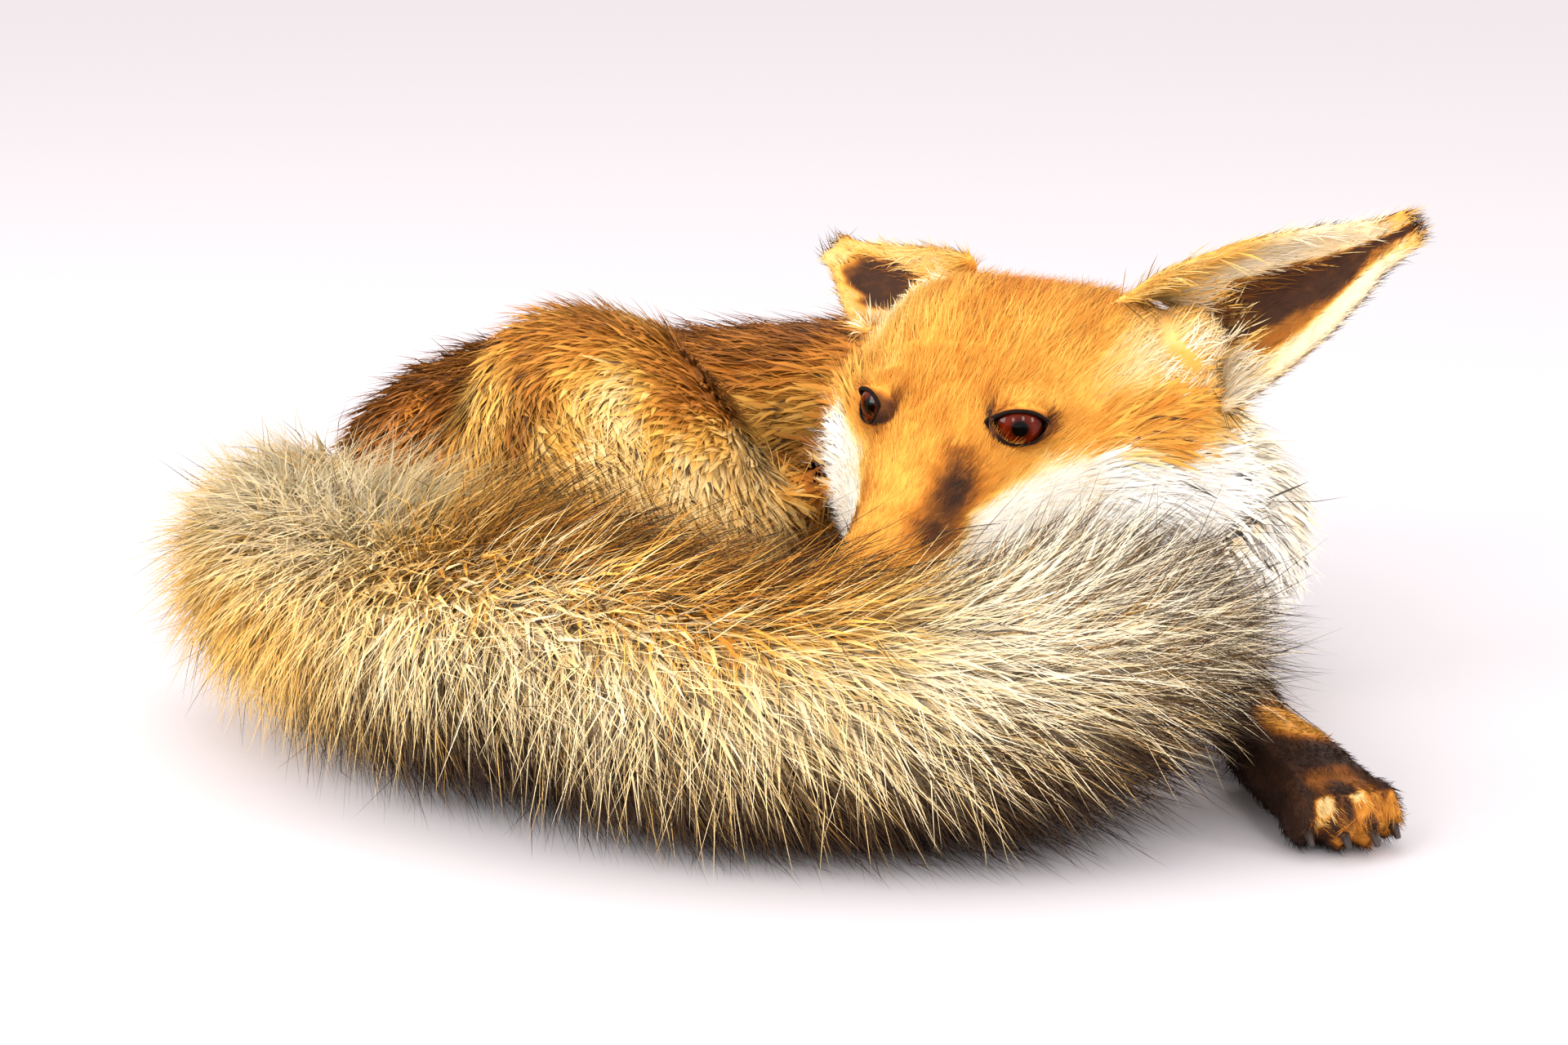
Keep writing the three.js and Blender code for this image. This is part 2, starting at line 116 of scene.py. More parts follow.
# %% [markdown]
# ## Two ways to say where a point is
#
# The head has its own axes: forward along the nose, to the fox's left, and up through the crown. The
# rest of the fox lies in a ring, so a point on it is described by how far along the spine it is and by
# its direction around the spine. Both start from the two eyes, whose places the frame gives.

# %% The head's axes
YAW, PITCH, ROLL = math.radians(31.0), math.radians(14.0), math.radians(1.8)
EYE_BACK, EYE_DROP, EYE_RADIUS = 7.3, 2.2, 8.0
EYE_FRONT = (-1.0, 25.6)
forward = np.array(
    (-math.sin(YAW) * math.cos(PITCH), -math.cos(YAW) * math.cos(PITCH), -math.sin(PITCH))
)
left = np.array((math.cos(YAW), -math.sin(YAW), 0.0))
left = left * math.cos(ROLL) - np.cross(forward, left) * math.sin(ROLL)
upward = np.cross(forward, left)
HEAD_AXES = np.array((forward, left, upward))


def middle_of(node):
    low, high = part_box(node)
    return np.array((low + high) / 2.0)


eye_middle = (middle_of("eye_left") + middle_of("eye_right")) / 2.0
head_origin = eye_middle + (EYE_BACK * forward + EYE_DROP * upward) * MM


def to_head(points):
    return (points - head_origin) @ HEAD_AXES.T / MM


def from_head(x, y, z):
    return head_origin + np.array((x, y, z)) @ HEAD_AXES * MM


def head_turn(vectors):
    return vectors @ HEAD_AXES


def eye_distance(h):
    """How far, in mm, points of the head are from the front of the eye on their own side."""
    ahead, outward, above = h[:, 0] - EYE_FRONT[0], np.abs(h[:, 1]) - EYE_FRONT[1], h[:, 2]
    return np.linalg.norm(np.stack((ahead, outward, above), 1), axis=1)


print("head origin, mm:", np.round(head_origin / MM, 1))

# %% The curl's two centrelines
EYES_FROM_CURL = np.array((45.6, -58.0, 101.2)) * MM
curl = head_origin - EYES_FROM_CURL
# Angle round the curl in degrees, distance from its centre and height in mm.
SPINE = (
    (-10, 126, 40), (10, 121, 47), (36, 122, 52), (60, 130, 52), (86, 132, 50),
    (113, 126, 50), (140, 120, 52), (160, 118, 48), (176, 118, 36),
)
BRUSH = (
    (166, 128, 46), (177, 142, 48), (190, 148, 47), (213, 137, 48), (238, 136, 51),
    (262, 148, 48), (284, 158, 45), (303, 160, 50), (318, 167, 53),
)


def smooth_path(stations, count):
    """A Catmull-Rom curve through stations given as angle, distance and height."""
    a = np.radians([s[0] for s in stations])
    r = np.array([s[1] for s in stations]) * MM
    p = np.stack((r * np.cos(a), r * np.sin(a), np.array([s[2] for s in stations]) * MM), 1) + curl
    p = np.vstack((2 * p[0] - p[1], p, 2 * p[-1] - p[-2]))
    t = np.linspace(0, len(stations) - 1 - 1e-9, count)
    i = t.astype(int)
    f = (t - i)[:, None]
    p0, p1, p2, p3 = p[i], p[i + 1], p[i + 2], p[i + 3]
    return 0.5 * (
        2 * p1 + (p2 - p0) * f + (2 * p0 - 5 * p1 + 4 * p2 - p3) * f**2
        + (3 * p1 - p0 - 3 * p2 + p3) * f**3
    )


spine = smooth_path(SPINE, 160)
brush = smooth_path(BRUSH, 150)
AT_ONCE = 20000


def along(points, path):
    """Where points are along a path.

    For each: its share of the path's length, its angle round the path, its distance from the path and
    the path's direction there. Points are taken in groups, which keeps the arrays small."""
    nearest = np.empty(len(points), int)
    for start in range(0, len(points), AT_ONCE):
        part = points[start : start + AT_ONCE]
        gap = ((part[:, None, :] - path[None, :, :]) ** 2).sum(2)
        nearest[start : start + AT_ONCE] = gap.argmin(1)
    step = np.gradient(path, axis=0)
    length = np.concatenate(([0.0], np.cumsum(np.linalg.norm(np.diff(path, axis=0), axis=1))))
    ahead = unit(step)[nearest]
    away = points - path[nearest]
    share = (length[nearest] + (away * ahead).sum(1)) / length[-1]
    outward = unit(np.cross(ahead, (0.0, 0.0, 1.0)))
    above = np.cross(outward, ahead)
    angle = np.arctan2((away * above).sum(1), (away * outward).sum(1))
    return share, angle, np.linalg.norm(away, axis=1), ahead


print("spine and brush, mm:", round(float(np.abs(np.diff(spine, axis=0)).sum() / MM)),
      round(float(np.abs(np.diff(brush, axis=0)).sum() / MM)))


# %% [markdown]
# ## One skin from many solids
#
# The solids touch with a hair's gap between them, as measured parts do, but a pelt is one sheet. We
# copy them, swell them a little so that they fuse, and let the Remesh modifier wrap the lot in one even
# surface. That surface is then pushed inwards by the depth of the coat, which differs from place to
# place: hardly anything on the muzzle, a centimetre on the flank, three on the brush.

# %% Meshes to arrays and back
def arrays_of(mesh):
    mesh.calc_loop_triangles()
    points = np.empty(len(mesh.vertices) * 3)
    mesh.vertices.foreach_get("co", points)
    faces = np.empty(len(mesh.loop_triangles) * 3, np.int64)
    mesh.loop_triangles.foreach_get("vertices", faces)
    return points.reshape(-1, 3), faces.reshape(-1, 3)


def mesh_of(name, points, faces):
    mesh = bpy.data.meshes.new(name)
    mesh.vertices.add(len(points))
    mesh.vertices.foreach_set("co", np.ascontiguousarray(points, np.float32).ravel())
    mesh.loops.add(len(faces) * 3)
    mesh.loops.foreach_set("vertex_index", np.ascontiguousarray(faces, np.int32).ravel())
    mesh.polygons.add(len(faces))
    mesh.polygons.foreach_set("loop_start", np.arange(0, len(faces) * 3, 3, dtype=np.int32))
    mesh.polygons.foreach_set("use_smooth", np.ones(len(faces), bool))
    mesh.update(calc_edges=True)
    return mesh


def outwards(points, faces):
    """The faces of a closed shape, turned round if they look inwards."""
    corners = points[faces] - points.mean(0)
    volume = (corners[:, 0] * np.cross(corners[:, 1], corners[:, 2])).sum()
    return faces[:, ::-1] if volume < 0 else faces


def placed(name, mesh):
    thing = bpy.data.objects.new(name, mesh)
    bpy.context.scene.collection.objects.link(thing)
    return thing


def drop(thing):
    mesh = thing.data
    bpy.data.objects.remove(thing)
    bpy.data.meshes.remove(mesh)


def finished(thing, name):
    """The mesh that the object's modifiers make, in place of the object."""
    graph = bpy.context.evaluated_depsgraph_get()
    mesh = bpy.data.meshes.new_from_object(thing.evaluated_get(graph), depsgraph=graph)
    mesh.name = name
    drop(thing)
    return mesh


# %% Copies of the solids, fused and relaxed
WELD = 0.02 * MM


def fused(nodes, grow, cell):
    """One even surface round the solids, swollen by grow and wrapped in cells, both in mm."""
    bm = bmesh.new()
    for node in nodes:
        bm.from_mesh(frame["nodes"][node].data)
    bmesh.ops.remove_doubles(bm, verts=bm.verts, dist=WELD)
    bm.normal_update()
    for v in bm.verts:
        v.co += v.normal * grow * MM
    mesh = bpy.data.meshes.new("fused")
    bm.to_mesh(mesh)
    bm.free()
    thing = placed("fused", mesh)
    wrap = thing.modifiers.new("wrap", "REMESH")
    wrap.mode = "VOXEL"
    wrap.voxel_size = cell * MM
    mesh = finished(thing, "fused")
    points, faces = arrays_of(mesh)
    bpy.data.meshes.remove(mesh)
    return points, faces


def edges_of(faces):
    pairs = np.vstack((faces[:, (0, 1)], faces[:, (1, 2)], faces[:, (2, 0)]))
    pairs.sort(axis=1)
    return np.unique(pairs, axis=0)


def relaxed(values, edges, rounds, share=0.5, hold=None):
    """Each value moves towards the mean of its neighbours, as many times as rounds says."""
    count = len(values)
    flat = values.reshape(count, -1).astype(float)
    a, b = edges[:, 0], edges[:, 1]
    near = np.maximum(np.bincount(a, minlength=count) + np.bincount(b, minlength=count), 1)
    keep = 1.0 if hold is None else (1.0 - hold)[:, None]
    for _ in range(rounds):
        mean = np.empty_like(flat)
        for k in range(flat.shape[1]):
            mean[:, k] = np.bincount(a, flat[b, k], count) + np.bincount(b, flat[a, k], count)
        flat += (mean / near[:, None] - flat) * share * keep
    return flat.reshape(values.shape)


def normals_of(points, faces):
    corners = points[faces]
    across = np.cross(corners[:, 1] - corners[:, 0], corners[:, 2] - corners[:, 0])
    total = np.empty_like(points)
    for k in range(3):
        total[:, k] = sum(np.bincount(faces[:, c], across[:, k], len(points)) for c in range(3))
    return unit(total)


# %% Which solid a point belongs to, and the coat's depth on each
BRUSH_NODES = [f"tail_{i}" for i in range(1, 6)]
EARS = ["ear_left", "ear_right"]
LEGS = ("fore_left", "fore_right", "hind_left", "hind_right")
PAWS = [f"paw_{leg}" for leg in LEGS]
LOWER_LEGS = ["forearm_fore_left", "forearm_fore_right", "shank_hind_left", "shank_hind_right"]
UPPER_LEGS = ["upper_arm_fore_left", "upper_arm_fore_right", "thigh_hind_left", "thigh_hind_right"]
TRUNK = ["rump", "loin", "chest", "neck"]
FLESH = ["head", *TRUNK, *UPPER_LEGS, *LOWER_LEGS, *PAWS, *EARS]
DEPTH = {"head": 4.0, "rump": 11.0, "loin": 11.0, "chest": 12.0, "neck": 12.0}
DEPTH.update({node: 8.5 for node in UPPER_LEGS})
DEPTH.update({node: 3.5 for node in LOWER_LEGS})
DEPTH.update({node: 1.4 for node in PAWS})
DEPTH.update({node: 0.5 for node in EARS})
DEPTHS = np.array([DEPTH[node] for node in FLESH])


def search_tree(nodes):
    points, faces, owner, base = [], [], [], 0
    for index, node in enumerate(nodes):
        p, f = arrays_of(frame["nodes"][node].data)
        points.append(p)
        faces.append(f + base)
        owner += [index] * len(f)
        base += len(p)
    tree = BVHTree.FromPolygons(np.vstack(points).tolist(), np.vstack(faces).tolist())
    return tree, np.array(owner)


flesh_tree, flesh_owner = search_tree(FLESH)


def owners(points):
    return flesh_owner[[flesh_tree.find_nearest(p)[2] for p in points.tolist()]]


def head_depth(h):
    """The coat's depth on the head, from the head's own coordinates in mm."""
    x, y, z = h[:, 0], np.abs(h[:, 1]), h[:, 2]
    depth = mix(5.5, 2.0, ease(-25, 30, x))
    cheek = ease(28, 50, y) * ease(0, -18, z) * ease(5, -25, x)
    nape = ease(-60, -90, x) * ease(10, -20, z)
    depth = mix(mix(depth, 10.5, cheek), 9.0, nape)
    for ear_root in ((-70, 46, 2), (-75, -42, -2)):
        depth = mix(depth, 3.0, ease(36, 20, np.linalg.norm(h - ear_root, axis=1)))
    return mix(depth, 2.2, ease(22, 10, eye_distance(h)))


def coat_depth(points, edges, rounds):
    owner = owners(points)
    on_the_head = owner == FLESH.index("head")
    depth = np.where(on_the_head, head_depth(to_head(points)), DEPTHS[owner])
    return relaxed(depth, edges, rounds)


# %% The body's skin
# How much the solids swell, how far inside the skin a ray starts, and the furthest it looks, in mm.
SWELL, INSET, FURTHEST = 0.3, 0.5, 60.0
# The coat takes no more than this share of the flesh's thickness.
DEEPEST = 0.40


def thickness(points, faces, normals):
    """How far it is, in mm, from each point straight through the flesh to the other side."""
    tree = BVHTree.FromPolygons(points.tolist(), faces.tolist())
    room = np.full(len(points), FURTHEST)
    for i, (p, n) in enumerate(zip((points - normals * INSET * MM).tolist(), (-normals).tolist())):
        hit = tree.ray_cast(p, n, FURTHEST * MM)
        if hit[0] is not None:
            room[i] = hit[3] / MM + INSET
    return room


def sunk(nodes, cell, rounds, blur, extra=None):
    """The solids' joint skin, smoothed for some rounds and pushed in by the coat's depth."""
    points, faces = fused(nodes, SWELL, cell)
    edges = edges_of(faces)
    points = relaxed(points, edges, rounds)
    depth = coat_depth(points, edges, blur)
    if extra is not None:
        depth = extra(points, depth)
    normal = unit(relaxed(normals_of(points, faces), edges, 4))
    room = relaxed(thickness(points, faces, normal), edges, 4)
    return points - normal * np.minimum(depth, DEEPEST * room)[:, None] * MM, faces, edges


def head_deeper(points, depth):
    """The body's skin keeps below the head's own skin, which is made next."""
    h = to_head(points)
    return depth + 1.6 * ease(-70, -55, h[:, 0]) * ease(95, 60, np.linalg.norm(h, axis=1))


BODY_NODES = ["head", "eye_left", "eye_right", *TRUNK, *UPPER_LEGS, *LOWER_LEGS, *PAWS]
body_points, body_faces, body_edges = sunk(BODY_NODES, cell=3.1, rounds=8, blur=12, extra=head_deeper)
body_points = relaxed(body_points, body_edges, 3)
print("body skin points:", len(body_points))

# %% Boolean joins and cuts
def combined(meshes, kind="UNION"):
    first, *others = [placed(f"join_{i}", m) for i, m in enumerate(meshes)]
    for other in others:
        cut = first.modifiers.new("cut", "BOOLEAN")
        cut.operation = kind
        cut.solver = "MANIFOLD"
        cut.object = other
    graph = bpy.context.evaluated_depsgraph_get()
    mesh = bpy.data.meshes.new_from_object(first.evaluated_get(graph), depsgraph=graph)
    for thing in (first, *others):
        drop(thing)
    return mesh_of("joined", *arrays_of(mesh))


# %% A ball
def ball(name, centre, radius, rings=24, segments=32):
    mesh = bpy.data.meshes.new(name)
    bm = bmesh.new()
    bmesh.ops.create_uvsphere(bm, u_segments=segments, v_segments=rings, radius=radius * MM)
    bmesh.ops.translate(bm, verts=bm.verts, vec=Vector(centre))
    bmesh.ops.triangulate(bm, faces=bm.faces)
    bm.to_mesh(mesh)
    bm.free()
    return mesh


# %% A check that a surface is closed
def loose_edges(mesh):
    bm = bmesh.new()
    bm.from_mesh(mesh)
    count = sum(not e.is_manifold for e in bm.edges)
    bm.free()
    return count


# %% [markdown]
# ## The head
#
# The head is looked at most, so its skin has a finer mesh of its own, cut from the same solids and
# pushed in by the same depths. The shapes that the solids are too coarse for are added as smooth
# pushes along the surface: lids that follow the eyeballs, a brow over each, the hollow in front of the
# eye, the furrow of the forehead, and the line of the mouth.

# %% The eyes' places and axes
# In the head's axes, for the left eye: along the slit towards the outer corner, and out of the eye.
SLIT_AXIS = (-0.516, 0.846, -0.137)
OUT_AXIS = (6.5, 3.9, 2.2)
LID_RADIUS = 9.2
SLIT_HALF, UPPER_LID, LOWER_LID = 8.3, 4.0, 5.9
INNER_CORNER = {1: 1.0, -1: 0.70}


def eye_frame(side):
    """Centre in metres, and the axes out of the eye, along the slit and up, for side 1 (left) or -1."""
    out = unit(np.array((OUT_AXIS[0], side * OUT_AXIS[1], OUT_AXIS[2])))
    slit = np.array((SLIT_AXIS[0], side * SLIT_AXIS[1], SLIT_AXIS[2]))
    slit = unit(slit - out * (slit @ out))
    rise = np.cross(out, slit) * side
    centre = middle_of("eye_left" if side > 0 else "eye_right")
    return centre, head_turn(out), head_turn(slit), head_turn(rise)


EYES = {side: eye_frame(side) for side in (1, -1)}
for side, parts in EYES.items():
    print("eye", side, "rise points up by", round(float(parts[3][2]), 2))


def almond(count, half=SLIT_HALF, upper=UPPER_LID, lower=LOWER_LID, inner=1.0):
    """The lids' edge, as offsets along the slit and up, in mm. inner shortens the corner by the nose."""
    turn = np.linspace(0, 2 * math.pi, count, endpoint=False)
    across = np.cos(turn)
    arch = (1 - np.abs(across) ** 2.3) ** 0.8
    height = np.where(np.sin(turn) >= 0, upper, -lower) * arch
    return np.stack((half * across * np.where(across < 0, inner, 1.0), height), 1)


# %% Pushes that shape the face
def dome_over_eyes(points):
    """Skin near an eye lies on a ball a little larger than the eye, as lids do."""
    for centre, out, _, _ in EYES.values():
        away = points - centre
        reach = np.linalg.norm(away, axis=1)
        lean = np.degrees(np.arccos(np.clip((away @ out) / np.maximum(reach, 1e-9), -1, 1)))
        lid = (LID_RADIUS + 0.9 * ease(45, 75, lean)) * MM
        share = ease(100, 58, lean) * ease(24 * MM, 15 * MM, reach)
        wanted = np.maximum(reach + (lid - reach) * share, (LID_RADIUS - 0.1) * MM * (lean < 125))
        points = centre + unit(away) * wanted[:, None]
    return points


def near_line(h, stations):
    """The distance in mm from points to a line through stations, and the share of the way along it."""
    line = np.array(stations, float)
    best = np.full(len(h), 1e9)
    where = np.zeros(len(h))
    for i, (a, b) in enumerate(zip(line[:-1], line[1:])):
        t = np.clip((h - a) @ (b - a) / ((b - a) @ (b - a)), 0, 1)
        gap = np.linalg.norm(h - a - t[:, None] * (b - a), axis=1)
        where = np.where(gap < best, (i + t) / (len(line) - 1), where)
        best = np.minimum(best, gap)
    return best, where


MOUTH = ((76, 0, -44), (62, 13, -47), (42, 18, -47), (25, 23, -45), (13, 27, -42))
TEAR = ((1, 16, -1), (10, 14.5, -7), (20, 13.5, -13), (30, 14, -20))
FURROW = ((-44, 0, 24), (-24, 0, 16), (-6, 1, 8), (8, 2, 0))


def face_push(points):
    """How far to push each point of the face outwards, in mm."""
    h = to_head(points)
    folded = np.stack((h[:, 0], np.abs(h[:, 1]), h[:, 2]), 1)
    push = np.zeros(len(points))
    gap, where = near_line(folded, MOUTH)
    push -= 1.5 * np.exp(-((gap / 1.7) ** 2))
    push += 0.9 * np.exp(-(((gap - 4.5) / 2.6) ** 2)) * (where < 0.95)
    gap, _ = near_line(folded, TEAR)
    push -= 0.9 * np.exp(-((gap / 2.6) ** 2))
    gap, _ = near_line(h, FURROW)
    push -= 1.1 * np.exp(-((gap / 3.5) ** 2))
    brow = np.linalg.norm((folded - (-9, 20, 11)) / (12, 9, 6), axis=1)
    push += 1.6 * np.exp(-(brow**2))
    cheekbone = np.linalg.norm((folded - (-10, 36, -12)) / (16, 8, 6), axis=1)
    push += 1.0 * np.exp(-(cheekbone**2))
    return push


# %% The head's own skin
def head_skin():
    solids = ["head", "eye_left", "eye_right", "neck", "chest"]
    points, faces, edges = sunk(solids, cell=1.5, rounds=26, blur=18)
    normal = unit(relaxed(normals_of(points, faces), edges, 3))
    points = points + normal * face_push(points)[:, None] * MM
    points = dome_over_eyes(points)
    return relaxed(points, edges, 1), faces


def slab(centre, direction, size=0.4):
    """A block whose one face lies on centre, and which reaches away in direction."""
    mesh = bpy.data.meshes.new("slab")
    bm = bmesh.new()
    bmesh.ops.create_cube(bm, size=size)
    turn = Vector(direction).to_track_quat("Z", "Y").to_matrix().to_4x4()
    place = Matrix.Translation(Vector(centre) + Vector(direction).normalized() * size / 2) @ turn
    bmesh.ops.transform(bm, matrix=place, verts=bm.verts)
    bmesh.ops.triangulate(bm, faces=bm.faces)
    bm.to_mesh(mesh)
    bm.free()
    return mesh


NAPE_CUT = -70.0
head_points, head_faces = head_skin()
in_front = slab(from_head(NAPE_CUT, 0, 0), forward)
head_mesh = combined([mesh_of("head", head_points, head_faces), in_front], "INTERSECT")
print("head skin triangles:", len(head_mesh.polygons), "open edges:", loose_edges(head_mesh))

# %% [markdown]
# ## Ears and paws
#
# The ears are thin cups and the paws are small lumps, so both would be lost in a coarse wrap. Each is
# wrapped in cells of about a millimetre and then joined to the rest with a Boolean.

# %% Ears and paws as fine skins
def ear_skin(node):
    points, faces = fused([node], grow=0.1, cell=1.2)
    edges = edges_of(faces)
    points = relaxed(points, edges, 9)
    return mesh_of(node, points, faces)


def paw_skin(leg, cell):
    lower = ("forearm_" if "fore" in leg else "shank_") + leg
    paw = "paw_" + leg
    points, faces, _ = sunk([lower, paw], cell, rounds=5, blur=6)
    direction = middle_of(paw) - middle_of(lower)
    cut = mix(middle_of(lower), middle_of(paw), 0.15)
    return combined([mesh_of(paw, points, faces), slab(cut, direction, 0.3)], "INTERSECT")


# The near forefoot is seen, so it is finer than the others.
PAW_CELLS = {"fore_left": 1.25, "fore_right": 2.0, "hind_left": 2.0, "hind_right": 2.0}
ear_meshes = [ear_skin(node) for node in EARS]
paw_meshes = [paw_skin(leg, PAW_CELLS[leg]) for leg in LEGS]
print("ear and paw triangles:", [len(m.polygons) for m in ear_meshes + paw_meshes])
print("open edges:", [loose_edges(m) for m in ear_meshes + paw_meshes])

# %% [markdown]
# ## The brush's core
#
# Under a fox's brush there is only a slim tail. Its skin is a tapering tube along the centreline, about
# a third as thick as the fur around it.

# %% Rings of points along a path
def rings_round(path, outward, above, radii, sides):
    """A ring of points round each point of the path."""
    turn = np.linspace(0, 2 * math.pi, sides, endpoint=False)
    ring = outward[:, None] * np.cos(turn)[None, :, None] + above[:, None] * np.sin(turn)[None, :, None]
    return (path[:, None] + ring * radii[:, None, None]).reshape(-1, 3)


def wall(rows, sides, steps):
    """Triangles from each ring to the next. There are as many steps as rows where the path is closed."""
    i, j = np.meshgrid(np.arange(steps), np.arange(sides), indexing="ij")
    after = (i + 1) % rows
    a, b = i * sides + j, i * sides + (j + 1) % sides
    c, d = after * sides + j, after * sides + (j + 1) % sides
    return np.vstack((np.stack((a, b, d), -1).reshape(-1, 3), np.stack((a, d, c), -1).reshape(-1, 3)))


# %% A tapering tube along the brush
CORE_SIDES = 32
CORE_END = 0.93
# In mm: the radius at the root and how much less it is at the end. The last tenth is rounded off.
CORE_RADIUS, CORE_TAPER, CORE_ROUNDED = 20.0, 4.5, 0.10


def tube(path, radii, sides):
    """A closed tube along an open path, level with the ground."""
    ahead = unit(np.gradient(path, axis=0))
    outward = unit(np.cross(ahead, (0.0, 0.0, 1.0)))
    rows = len(path)
    points = rings_round(path, outward, np.cross(outward, ahead), radii, sides)
    points = np.vstack((points, path[:1], path[-1:]))
    near = np.arange(sides)
    far = near + (rows - 1) * sides
    first = np.stack((near, np.full(sides, len(points) - 2), (near + 1) % sides), 1)
    last = np.stack((far, (near + 1) % sides + (rows - 1) * sides, np.full(sides, len(points) - 1)), 1)
    faces = np.vstack((wall(rows, sides, rows - 1), first, last))
    return points, outwards(points, faces)


core_path = brush[: int(len(brush) * CORE_END)]
core_share = np.linspace(0, 1, len(core_path))
core_rounding = np.sqrt(np.clip((1.0 - core_share) / CORE_ROUNDED, 0.02, 1.0))
core_radius = (CORE_RADIUS - CORE_TAPER * core_share) * core_rounding * MM
core_points, core_faces = tube(core_path, core_radius, CORE_SIDES)
core_mesh = mesh_of("core", core_points, core_faces)
print("core triangles:", len(core_mesh.polygons))

# %% The joined skin
# A ball at the root of each ear closes the gap to the head: its place in the head's mm, and its radius.
EAR_SEATS = ((-66.0, 42.0, -4.0, 14.0), (-71.0, -40.0, -8.0, 13.0))
seats = [ball("seat", from_head(x, y, z), radius) for x, y, z, radius in EAR_SEATS]
body_mesh = mesh_of("body", body_points, body_faces)
print("open edges in the body:", loose_edges(body_mesh))
whole = combined([body_mesh, core_mesh, head_mesh, *ear_meshes, *seats, *paw_meshes])
print("joined skin triangles:", sum(len(p.vertices) - 2 for p in whole.polygons))

# %% Eye sockets with almond openings
# The opening is cut from inside the eyeball to well in front of it, in mm from the eye's middle.
CUT_FROM, CUT_TO = 2.5, 18.0
EYE_GAP = 0.12


def prism(centre, out, slit, rise, inner):
    edge = almond(48, inner=inner) * MM
    rows = [centre + out * t * MM + edge[:, :1] * slit + edge[:, 1:] * rise for t in (CUT_FROM, CUT_TO)]
    count = len(edge)
    points = np.vstack((*rows, centre + out * CUT_FROM * MM, centre + out * CUT_TO * MM))
    i = np.arange(count)
    k = (i + 1) % count
    faces = np.vstack((
        np.stack((i, k, k + count), 1), np.stack((i, k + count, i + count), 1),
        np.stack((k, i, np.full(count, 2 * count)), 1),
        np.stack((i + count, k + count, np.full(count, 2 * count + 1)), 1),
    ))
    return mesh_of("prism", points, outwards(points, faces))


cutters = []
for side, (centre, out, slit, rise) in EYES.items():
    cutters.append(prism(centre, out, slit, rise, INNER_CORNER[side]))
    cutters.append(ball("socket", centre, EYE_RADIUS + EYE_GAP, rings=32, segments=48))
skin_mesh = combined([whole, *cutters], "DIFFERENCE")
skin_points, skin_faces = arrays_of(skin_mesh)
print("skin: points", len(skin_points), "triangles", len(skin_faces))

# %% [markdown]
# ## Regions, and the lie of the coat
#
# Fur never grows at random: it runs back from the nose, down the neck, along the flank and out to the
# tip of the brush, and down each leg to the toes. We say which way it runs in each region, then let
# neighbouring points average their directions, so that one region turns smoothly into the next.

# %% Regions of the skin
skin_edges = edges_of(skin_faces)
skin_normals = normals_of(skin_points, skin_faces)
soft_normals = unit(relaxed(skin_normals, skin_edges, 8))
owner = owners(skin_points)
in_curl = (skin_points - curl) / MM
head_place = to_head(skin_points)
brush_share, brush_angle, brush_gap, brush_ahead = along(skin_points, brush)
spine_share, _, _, spine_ahead = along(skin_points, spine)
# The skin counts as the brush within this distance of its centreline, past this share of its length.
BRUSH_WITHIN, BRUSH_PAST = 23.5 * MM, 0.045
NAMES = {node: index for index, node in enumerate(FLESH)}


def is_in(*nodes):
    return np.isin(owner, [NAMES[node] for node in nodes])


on_brush = (brush_gap < BRUSH_WITHIN) & (brush_share > BRUSH_PAST)
on_head = is_in("head") & ~on_brush
on_ears = is_in(*EARS) & ~on_brush
on_paws = is_in(*PAWS) & ~on_brush
on_lower_legs = is_in(*LOWER_LEGS) & ~on_brush
on_upper_legs = is_in(*UPPER_LEGS) & ~on_brush
on_trunk = is_in("rump", "loin") & ~on_brush
on_ruff = is_in("chest", "neck") & ~on_brush
REGIONS = {
    "brush": on_brush, "head": on_head, "ears": on_ears, "paws": on_paws, "lower legs": on_lower_legs,
    "upper legs": on_upper_legs, "trunk": on_trunk, "ruff": on_ruff,
}
print({name: int(mask.sum()) for name, mask in REGIONS.items()})

# %% Directions of growth
DOWN = np.array((0.0, 0.0, -1.0))
NOSE_TIP = (92.0, 0.0, -36.0)
EAR_LENGTHWISE = {"ear_left": (-0.34, 0.83, 0.45), "ear_right": (-0.57, -0.84, 0.03)}
EAR_ROOT = {"ear_left": (-68.0, 46.0, 0.0), "ear_right": (-73.0, -42.0, -4.0)}
EAR_FACING = {"ear_left": (0.8, 0.45, 0.3), "ear_right": (0.6, -0.3, 0.6)}
EAR_LENGTH, EAR_HALF = 75.0, 21.0


